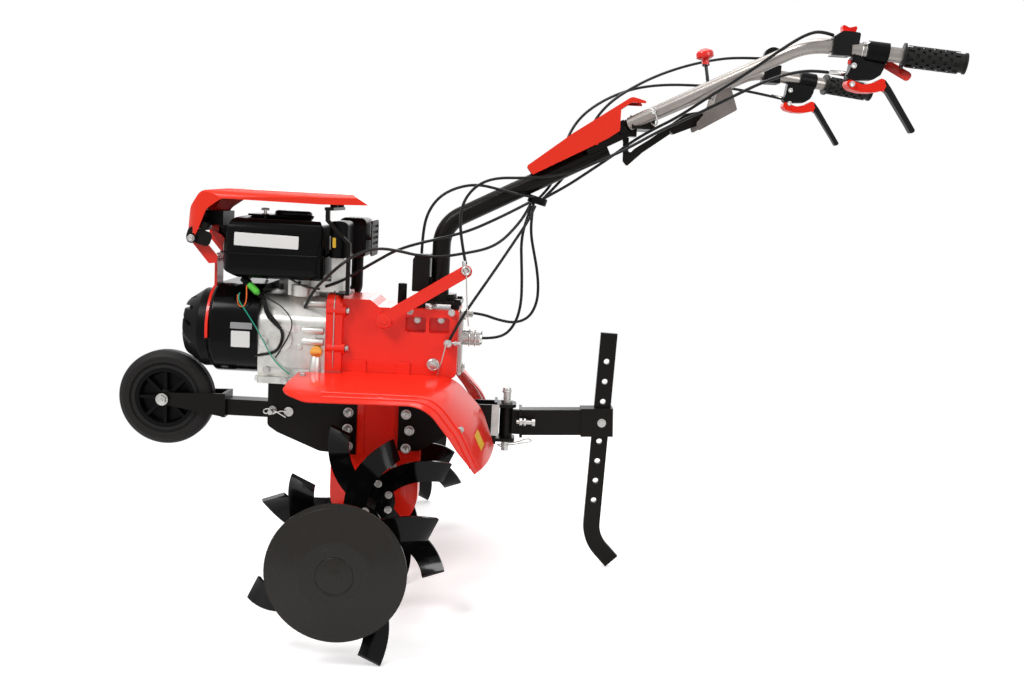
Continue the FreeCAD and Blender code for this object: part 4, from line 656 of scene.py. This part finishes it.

# Wiring: each run is a radius and its route.
wires = {
    "orange": (1.3, [
        (262, 78, 443), (266, 86, 437), (263, 90, 405), (269, 89, 390), (279, 88, 390), (283, 89, 404),
        (282, 88, 414),
    ]),
    "green": (1.3, [
        (278, 88, 418), (282, 91, 406), (269, 96, 390), (242, 104, 355), (221, 102, 316), (206, 98, 288),
        (187, 96, 268), (171, 93, 257),
    ]),
}
loom = {
    "main": (3.2, [
        (231, 84, 412), (223, 89, 387), (210, 95, 371), (194, 101, 356), (186, 102.5, 340), (189, 102.5, 321),
        (200, 98, 302), (227, 92, 295), (246, 80, 290),
    ]),
    "inner": (2.4, [(233, 84, 412), (229, 88, 392), (220, 92, 372), (206, 95, 360), (192, 97, 349)]),
    "thin": (1.3, [
        (224, 82, 410), (207, 88, 402), (194, 92, 396), (179, 94, 382), (168, 98, 365), (171, 101, 345),
        (184, 101, 318), (202, 93, 290),
    ]),
    "top": (2.0, [
        (262, 70, 447), (244, 86, 463), (220, 98, 470), (196, 100, 462), (170, 97, 449), (146, 92, 436),
        (120, 74, 432),
    ]),
}


def wire(name, run):
    radius, route = run
    return strand(name, route, radius)


settle("orange_wire", "chassis", None, "orangeJacket", wire("orange", wires["orange"]))
settle("green_wire", "chassis", None, "greenJacket", wire("green", wires["green"]))
connector = [
    {"start": (262, 80, 436), "end": (243, 84, 419), "radius": 7, "edge": 1.5, "sides": 24},
    {"start": (246, 83, 421.5), "end": (240, 84.5, 416), "radius": 5, "tip": 4, "sides": 20},
]
boots = [
    {"start": (275, 76, 448), "end": (261, 80, 435.5), "radius": 8.5, "tip": 8, "edge": 2, "sides": 24},
    {"start": (240, 84, 416), "end": (229, 84, 408), "radius": 6.5, "tip": 4.5, "edge": 1.2, "sides": 20},
]
settle("plug", "chassis", None, "greenPlastic", *[drum(**part) for part in connector])
settle("wire_boots", "chassis", "cable_rubber", "blackPlastic", *[drum(**part) for part in boots])
settle("harness", "chassis", "cable_rubber", "cableJacket", *[wire(name, run) for name, run in loom.items()])

# Crankcase, its bosses and its dipstick. A boss is its foot and how far out its parts stand.
shroudBoss = {"foot": (264, 0, 388), "way": leftward,
              "steps": [(52, 76, 9, {"edge": 1.2}), (70, 79, 5, {"edge": 1, "sides": 24})]}
caseBoss = {"start": 106, "radius": 8, "tip": 7, "cap": 5.5, "capTip": 5, "capBack": 2, "capOut": 3,
            "places": ((150, 62, 401), (147, 90, 349), (147, 90, 326))}
casePads = [((154, 88, 314), 6, 7, 6, {"edge": 1, "sides": 28}),
            ((228, 88, 322), 6, 10, 9, {"edge": 1, "sides": 32})]
caseRib = {"low": (104, 82, 240), "high": (244, 92, 250), "edge": 2}
oilWell = {"start": (122, 84, 296), "end": (122, 90, 262), "radius": 11, "tip": 12, "edge": 1.5,
           "sides": 28}
dipstick = {"start": (120, 84, 306), "end": (120, 95, 306), "radius": 12.5, "tip": 12, "edge": 1.5,
            "sides": 28}
dipstickGrip = {"low": (108, 92, 302), "high": (132, 101, 310), "edge": 2.4}

settle("shroud_boss", "chassis", None, "greyPlate", *turned(**shroudBoss))
bosses = []
for end, y, level in caseBoss["places"]:
    bosses.append(drum((caseBoss["start"], y, level), (end, y, level), caseBoss["radius"], caseBoss["tip"],
                       edge=1.2, sides=28))
    bosses.append(drum((end - caseBoss["capBack"], y, level), (end + caseBoss["capOut"], y, level),
                       caseBoss["cap"], caseBoss["capTip"], edge=0.8, sides=24))
for foot, out, radius, tip, rest in casePads:
    bosses.append(drum(foot, Vector(foot) + Vector(leftward) * out, radius, tip, **rest))
settle("case_bosses", "chassis", "cast_aluminium", "castAluminium",
       *bosses, block(**caseRib), drum(**oilWell))
settle("dipstick", "chassis", None, "yellowPlastic", drum(**dipstick), block(**dipstickGrip))

# The speed control's bracket above the crankcase.
speedPlate = {"centre": (157.5, 62, 443), "outward": leftward, "along": forward, "long": 30, "tall": 17,
              "thick": 2.2, "corner": 1.5, "edge": 0.4}
speedStud = {"start": (150, 60, 441), "end": (150, 66, 441), "radius": 3.6, "edge": 0.5, "sides": 20}
speedFoot = {"low": (143, 28, 433), "high": (172, 62, 436), "edge": 0.5}
speedHole = {"at": (163, 63.2, 443), "axis": leftward, "radius": 3.2, "thick": 0.5, "sides": 24}
speedHoleFloor = {"start": (163, 62.4, 443), "end": (163, 63.3, 443), "radius": 2.9, "tip": 2.2,
                  "edge": 0.2, "sides": 20}
settle("speed_bracket", "chassis", "zinc_steel", "zinc", plate(**speedPlate), drum(**speedStud),
       block(**speedFoot))
settle("bracket_hole", "chassis", "black_plastic", "blackPlastic", hoop(**speedHole), drum(**speedHoleFloor))

baseNuts = ((221, 85, 264), (182, 96, 245))
bolts("base_nuts", "chassis", across=13, tall=8, places=[(place, leftward) for place in baseNuts])
flangeBolts = {"x": 66, "y": 80, "levels": (391, 314)}
bolts("flange_bolts", "chassis", across=13, tall=9,
      places=[((flangeBolts["x"], side * flangeBolts["y"], level), backward)
       for side in bothSides for level in flangeBolts["levels"]])
gasket = {"centre": (86.5, 0, 341), "outward": forward, "along": leftward, "long": 181, "tall": 160,
          "thick": 1.6, "corner": 24, "edge": 0.2}
settle("gasket", "chassis", "zinc_steel", "zinc", plate(**gasket))

# The sloping cylinder. On it a place is along the machine, out along the bore, and high across the bore.
cylinder = {
    "foot": (103, 0, 349),
    "slope": 25,
    "coverBolts": {"out": 203.5, "along": (43, 104), "high": (-27, 31)},
    "headBolts": {"out": 175.5, "along": (24, 123), "high": (-42, 45)},
    "rim": {"at": (73.5, 178, 2), "long": 92, "tall": 89, "thick": 5, "corner": 14, "edge": 1},
    "cap": [
        ((123, 172, 14), (123, 202, 14), {"radius": 9, "tip": 8, "edge": 1.6, "sides": 28}),
        ((123, 194, 14), (148, 196, 14), {"radius": 7, "tip": 5.5, "edge": 1.4, "sides": 24}),
    ],
    "lead": [(144, 196, 14), (166, 200, 18), (178, 190, 32), (178, 168, 42), (170, 140, 44), (160, 118, 40)],
    "leadRadius": 3.5,
}


def onCylinder(along, out, high):
    x, y, z = cylinder["foot"]
    slope = math.radians(cylinder["slope"])
    across = high * math.sin(slope) - out * math.cos(slope)
    return x + along, y + across, z + out * math.sin(slope) + high * math.cos(slope)


boreOut = Vector(onCylinder(0, 1, 0)) - Vector(onCylinder(0, 0, 0))
bolts("head_bolts", "chassis", across=10, tall=7, places=[
    (onCylinder(along, ring["out"], high), boreOut)
    for ring in (cylinder["coverBolts"], cylinder["headBolts"])
    for along in ring["along"] for high in ring["high"]])
rim = cylinder["rim"]
settle("valve_rim", "chassis", "cast_aluminium", "castAluminium",
       plate(onCylinder(*rim["at"]), boreOut, forward, rim["long"], rim["tall"], rim["thick"], rim["corner"],
             rim["edge"]))
settle("plug_cap", "chassis", "black_plastic", "blackPlastic",
       *[drum(onCylinder(*start), onCylinder(*end), **rest) for start, end, rest in cylinder["cap"]])
settle("plug_lead", "chassis", "cable_rubber", "cableJacket",
       strand("lead", [onCylinder(*place) for place in cylinder["lead"]], cylinder["leadRadius"]))
print("engine dressed")

# Gearbox, its levers and the fenders.
clutchBoss = {"foot": (-15, 0, 376), "way": leftward,
              "steps": [(84, 97.5, 16, {"tip": 15, "edge": 1.6, "sides": 40}),
                        (96, 99, 8, {"tip": 7.5, "edge": 1, "sides": 28})]}
settle("clutch_boss", "chassis", "red_paint", "redPaint", *turned(**clutchBoss))

clutchEnd = {
    "ring": {"at": (-176, 97, 486), "axis": leftward, "radius": 7.5, "thick": 2.2},
    "pin": {"start": (-176, 92, 486), "end": (-176, 99, 486), "radius": 4.2, "edge": 0.8, "sides": 24},
    "ferrule": {"start": (-173, 92, 492), "end": (-171, 92, 506), "radius": 4.4, "tip": 4.0, "edge": 0.8,
                "sides": 20},
    "nut": {"start": (-173.5, 92, 488), "end": (-172, 92, 494), "radius": 6, "edge": 0.8, "sides": 6},
    "wire": (1.3, [(-177, 97, 482), (-179, 97, 450), (-182, 94, 410), (-186, 88, 374)]),
}
settle("clutch_end", "chassis", "zinc_steel", "zinc", hoop(**clutchEnd["ring"]), drum(**clutchEnd["pin"]),
       drum(**clutchEnd["ferrule"]), drum(**clutchEnd["nut"]), wire("clutchWire", clutchEnd["wire"]))

deckPeg = {"foot": (-44, 30, 0), "way": upward,
           "steps": [(400, 450, 9.5, {"tip": 9, "edge": 2.2}), (400, 405, 12, {"tip": 11, "edge": 1})]}
settle("deck_peg", "chassis", "black_plastic", "blackPlastic", *turned(**deckPeg))
windowBolts = ((-79, 49, 377), (-128, 49, 379), (-65, 75, 397), (-150, 75, 398))
bolts("window_bolts", "chassis", across=11, tall=8, places=[(place, leftward) for place in windowBolts])
baseBolts = {"x": -103, "y": 60, "z": 402}
bolts("base_bolts", "chassis", across=13, tall=8,
      places=[((baseBolts["x"], side * baseBolts["y"], baseBolts["z"]), upward) for side in bothSides])

cableStop = {
    "boss": {"foot": (-146, 0, 337), "way": leftward,
             "steps": [(92, 97, 8.5, {"tip": 8, "edge": 1, "sides": 28}),
                       (95, 100, 5.2, {"edge": 0.6, "sides": 6})]},
    "screw": {"foot": (0, 88, 337), "way": backward,
              "steps": [(143, 172, 3.4, {"edge": 0.5, "sides": 20}),
                        (158, 163, 6, {"edge": 0.6, "sides": 6})]},
    "wire": (1.2, [(-142, 97, 333), (-137, 95, 308), (-131, 91, 286), (-127, 84, 270)]),
}
settle("cable_stop", "chassis", "zinc_steel", "zinc", *turned(**cableStop["boss"]),
       *turned(**cableStop["screw"]), wire("stopWire", cableStop["wire"]))

levelPlug = {"foot": (-117, 0, 290), "way": leftward,
             "steps": [(74, 81, 13.5, {"tip": 13, "edge": 1.2, "sides": 40}),
                       (78, 84, 8.5, {"tip": 8, "edge": 1, "sides": 6})]}
levelRing = {"at": (-117, 81, 290), "axis": leftward, "radius": 10.6, "thick": 1.4}
settle("level_plug", "chassis", "zinc_steel", "zinc", *turned(**levelPlug), hoop(**levelRing))

selector = {"z": 340, "cap": [(205, 213, 17, {"tip": 15, "edge": 1.6, "sides": 40})],
            "rings": ((-198, 17.6, 1.6), (-186, 18, 1.4)), "bolt": (-171, 24), "boltLevels": (275, 386)}
selectorX, selectorY = selector["bolt"]
bolts("selector_bolts", "chassis", across=11, tall=7,
      places=[((selectorX, side * selectorY, level), backward)
       for side in bothSides for level in selector["boltLevels"]])
settle("selector_cap", "chassis", "zinc_steel", "brightSteel",
       *turned((0, 0, selector["z"]), backward, selector["cap"]),
       *[hoop((x, 0, selector["z"]), backward, radius, thick) for x, radius, thick in selector["rings"]])

# Bolts of the two brackets, the drive leg and the fenders.
bracketBolts = {"y": 31, "places": ((59, 172), (60, 137), (58, 100), (-62, 174), (-70, 140), (-64, 101))}
bolts("bracket_bolts", "chassis", across=16, tall=10,
      places=[((x, side * bracketBolts["y"], z), (0, side, 0))
       for side in bothSides for x, z in bracketBolts["places"]])
legBolt = (-38, 26, 61)
bolts("leg_bolts", "chassis", across=13, tall=8, places=onBothSides(*legBolt))
fender = {
    "bolts": ((121, 92, 266), (137, 140, 264)),
    "rearBolt": ((-185.6, 260, 196), (-0.75, 0.37, 0.56)),
    "middle": (-60, 60),
    "reach": 420,
    "beads": (284, 266),
    "beadRadius": 2.6,
    "first": 55,
    "last": 158,
    "steps": 36,
}
(rearX, rearY, rearZ), (outX, outY, outZ) = fender["rearBolt"]
bolts("fender_bolts", "chassis", across=10, tall=6,
      places=[((x, side * y, z), upward) for x, y, z in fender["bolts"] for side in bothSides]
      + [((rearX, side * rearY, rearZ), (outX, side * outY, outZ)) for side in bothSides])


def onFender(node, y, turn):
    # The outside of a fender, seen from its middle at an angle above level.
    heading = Vector((math.cos(turn), 0, math.sin(turn)))
    x, z = fender["middle"]
    start = Vector((x, y, z)) + heading * fender["reach"]
    hit, place, _, _ = frame["nodes"][node].ray_cast(spot(*start), -(machine.to_3x3() @ heading))
    return (machine.inverted() @ place) / mm if hit else None


for node, side in (("fender_left", 1), ("fender_right", -1)):
    beads = []
    for y in fender["beads"]:
        turns = [math.radians(fender["first"] + (fender["last"] - fender["first"]) * step / fender["steps"])
                 for step in range(fender["steps"] + 1)]
        found = [place for place in (onFender(node, side * y, turn) for turn in turns) if place]
        beads.append(strand("bead", [tuple(place) for place in found], fender["beadRadius"]))
    settle(node + "_beads", "chassis", "red_paint", "redPaint", *beads)
print("gearbox dressed")

# Hood and its hinge, with the guard over the muffler.
hoodHinge = {
    "cheek": {"at": (362, 88, 527), "along": (1, 0, 0.3), "long": 50, "tall": 30, "thick": 3, "corner": 10,
              "edge": 0.6},
    "pivot": {"at": (375.5, 523), "from": 84, "to": 96, "radius": 10, "edge": 1, "sides": 32},
    "stop": {"at": (352, 548), "from": 60, "to": 92, "radius": 9, "edge": 1.4, "sides": 24},
    "boltOut": 97,
}
hinges = []
for side in bothSides:
    cheek = dict(hoodHinge["cheek"])
    x, y, z = cheek.pop("at")
    hinges.append(plate((x, side * y, z), (0, side, 0), **cheek))
    for part in (hoodHinge["pivot"], hoodHinge["stop"]):
        x, z = part["at"]
        hinges.append(drum((x, side * part["from"], z), (x, side * part["to"], z), part["radius"],
                           edge=part["edge"], sides=part["sides"]))
settle("hood_hinge", "hood", "black_paint", "satinBlack", *hinges)
pivotX, pivotZ = hoodHinge["pivot"]["at"]
bolts("hinge_bolts", "hood", across=11, tall=7, places=onBothSides(pivotX, hoodHinge["boltOut"], pivotZ))

guard = {"centre": (35, -92, 536), "outward": backward, "along": leftward, "long": 100, "tall": 74,
         "thick": 1.4, "corner": 8, "edge": 0.3}
guardHoles = {"x": 34.2, "rows": 5, "columns": 7, "pitch": 12.5}
guardHole = {"start": (0, 0, -0.4), "end": (0, 0, 0.8), "radius": 3.2, "edge": 0.2, "sides": 14}
_, guardY, guardZ = guard["centre"]
settle("muffler_guard", "chassis", "zinc_steel", "brightSteel", plate(**guard))
settle("guard_holes", "chassis", "black_plastic", "stoveBlack", *setOut(drum(**guardHole), [
    ((guardHoles["x"], guardY + (column - (guardHoles["columns"] - 1) / 2) * guardHoles["pitch"],
      guardZ + (row - (guardHoles["rows"] - 1) / 2) * guardHoles["pitch"]), backward)
    for column in range(guardHoles["columns"]) for row in range(guardHoles["rows"])]))
print("hood dressed")

# Hitch and stake: the bright strip, the pin's head and clip, and the bolt that sets the swing.
hitchStrip = {"centre": (-249, 32, 172), "outward": leftward, "along": upward, "long": 66, "tall": 16,
              "thick": 2, "corner": 2, "edge": 0.3}
settle("hitch_strip", "chassis", "zinc_steel", "zinc", plate(**hitchStrip))
pinHead = {"foot": (-271, 0, 0), "way": upward, "steps": [(226, 238, 9.5, {"tip": 8.5, "edge": 1.4})]}
pinRing = {"at": (-271, 0, 230), "axis": upward, "radius": 9.4, "thick": 1.2}
settle("pin_head", "hitch", "zinc_steel", "zinc", *turned(**pinHead), hoop(**pinRing))
pinClip = (1.5, [
    (-255, 2, 114), (-273, 5, 104), (-268, 7, 113), (-294, 5, 116), (-304, 3, 119), (-326, 2, 122),
    (-329, 2, 127), (-319, 2, 130), (-300, 0, 121), (-280, -6, 116), (-258, -5, 112),
])
settle("pin_clip", "hitch", "zinc_steel", "brightSteel", wire("clip", pinClip))
stopBolt = {"foot": (0, 38, 172), "way": backward, "steps": [
    (294, 333, 4, {"edge": 0.6, "sides": 20}), (300, 306, 8, {"edge": 0.8, "sides": 6}),
    (309, 314, 8, {"edge": 0.8, "sides": 6}), (326, 333, 7.5, {"edge": 0.8, "sides": 6})]}
settle("stop_bolt", "hitch", "zinc_steel", "zinc", *turned(**stopBolt))

# Transport wheel: the clip of its arm's pin, and its axle nuts outside the fork.
armClip = (1.5, [
    (188, 42, 157), (194, 42, 160), (211, 42, 170), (226, 42, 175), (236, 42, 170), (232, 42, 162),
    (221, 42, 167), (207, 42, 166), (198, 42, 171), (190, 42, 169),
])
settle("arm_clip", "arm", "zinc_steel", "brightSteel", wire("armClip", armClip))
axleNut = [(39, 42, 13, {"edge": 0.8, "sides": 36}), (41, 49, 10.5, {"edge": 0.8, "sides": 6}),
           (47, 52, 5, {"edge": 0.8, "sides": 24})]
settle("axle_nuts", "arm", "zinc_steel", "zinc",
       *[part for side in bothSides for part in turned(wheelHub, (0, side, 0), axleNut)])
print("hitch and wheel dressed")

# Rotor: the bolts through the tine flanges, and the pressed middles of the guard discs.
rotor = {"sets": (88, 290, 486), "boltsEach": 8, "boltCircle": 41, "half": 3.0}
discMiddle = [(543, 546.6, 34, {"tip": 31, "edge": 0.8, "sides": 64}),
              (541, 546.9, 14, {"tip": 13, "edge": 0.8, "sides": 32})]
boltTurns = [2 * math.pi * (step + 0.5) / rotor["boltsEach"] for step in range(rotor["boltsEach"])]
bolts("tine_bolts", "rotor", across=12, tall=7, places=[
    ((rotor["boltCircle"] * math.cos(turn), side * place + face * rotor["half"],
      rotor["boltCircle"] * math.sin(turn)), (0, face, 0))
    for side in bothSides for place in rotor["sets"] for face in (1, -1) for turn in boltTurns])
settle("disc_middles", "rotor", "gloss_black", "discEnamel",
       *[part for side in bothSides for part in turned((0, 0, 0), (0, side, 0), discMiddle)])
print("rotor dressed")

# Column and handlebar: ties, ferrules and the small parts of the controls.
cableTie = {"start": (-311, 0, 626), "end": (-315, 0, 641), "radius": 20, "tip": 20, "edge": 2, "sides": 28}
settle("ties", "column", "black_plastic", "blackPlastic", drum(**cableTie))
tubeTie = {
    "loop": {"at": (-532, 60, 811), "axis": (1, 0.4, -0.5), "radius": 17.5, "thick": 1.6},
    "lock": {"low": (-536, 74, 815), "high": (-529, 80, 821), "edge": 1},
    "tail": {"start": (-532, 77, 818), "end": (-534, 86, 827), "radius": 1.2, "edge": 0.3, "sides": 12},
}
settle("tube_tie", "handle", None, "whitePlate", hoop(**tubeTie["loop"]), block(**tubeTie["lock"]),
       drum(**tubeTie["tail"]))
ferrule = {"radius": 3.4, "edge": 0.6, "sides": 20}
ferruleEnds = [((-824, 242, 926), (-854, 242, 926)), ((-827, 242, 894), (-857, 242, 894)),
               ((-832, -242, 896), (-862, -242, 891))]
settle("ferrules", "handle", "zinc_steel", "brightSteel", *[drum(*ends, **ferrule) for ends in ferruleEnds])
leverScrews = ((-868, 254, 873), (-872, -226, 879), (-868, 254, 906), (-872, -226, 908))
bolts("lever_screws", "handle", across=8, tall=4.5, places=[(place, leftward) for place in leverScrews])
lockTab = {"centre": (-955, 232, 904), "outward": (0.3, 0.95, 0.1), "along": (-0.86, 0, -0.5), "long": 54,
           "tall": 17, "thick": 5, "corner": 7, "edge": 1.2}
lockButton = {"centre": (-866, 246, 913), "outward": leftward, "along": forward, "long": 15, "tall": 9,
              "thick": 4, "corner": 3, "edge": 0.8}
settle("lock_tab", "handle", "red_plastic", "redPlastic", plate(**lockTab), plate(**lockButton))
tubeBands = {"places": (-884, -891), "from": -886, "y": 242.5, "z": 935, "slope": -0.16,
             "axis": (-0.98, 0.16, -0.096), "radius": 13.6, "thick": 1.3}
bandScrew = {"low": (-894, 252, 944), "high": (-881, 257, 949), "edge": 0.8}
settle("tube_bands", "handle", "zinc_steel", "brightSteel",
       *[hoop((x, tubeBands["y"] + (x - tubeBands["from"]) * tubeBands["slope"], tubeBands["z"]),
              tubeBands["axis"], tubeBands["radius"], tubeBands["thick"]) for x in tubeBands["places"]],
       block(**bandScrew))

# The grips carry rows of long oval pads, each row turned half a pad from the next.
gripPads = {
    "start": (-954, 254, 928),
    "along": (-0.9831, 0.1559, -0.0959),
    "radius": 19.0,
    "rows": 9,
    "first": 15.0,
    "pitch": 9.6,
    "around": 9,
    "shape": {"long": 15.0, "tall": 7.6, "thick": 1.4, "corner": 3.4, "edge": 0.5},
}


def padPlaces(side):
    start, along = (Vector((x, side * y, z)) for x, y, z in (gripPads["start"], gripPads["along"]))
    across = along.cross(Vector(upward)).normalized()
    for row in range(gripPads["rows"]):
        for step in range(gripPads["around"]):
            turn = 2 * math.pi * (step + row % 2 / 2) / gripPads["around"]
            outward = across * math.cos(turn) + along.cross(across) * math.sin(turn)
            at = start + along * (gripPads["first"] + row * gripPads["pitch"]) + outward * gripPads["radius"]
            yield at, outward, along


settle("grip_pads", "handle", "rubber", "gripRubber",
       *[plate(*place, **gripPads["shape"]) for side in bothSides for place in padPlaces(side)])
print("handlebar dressed")
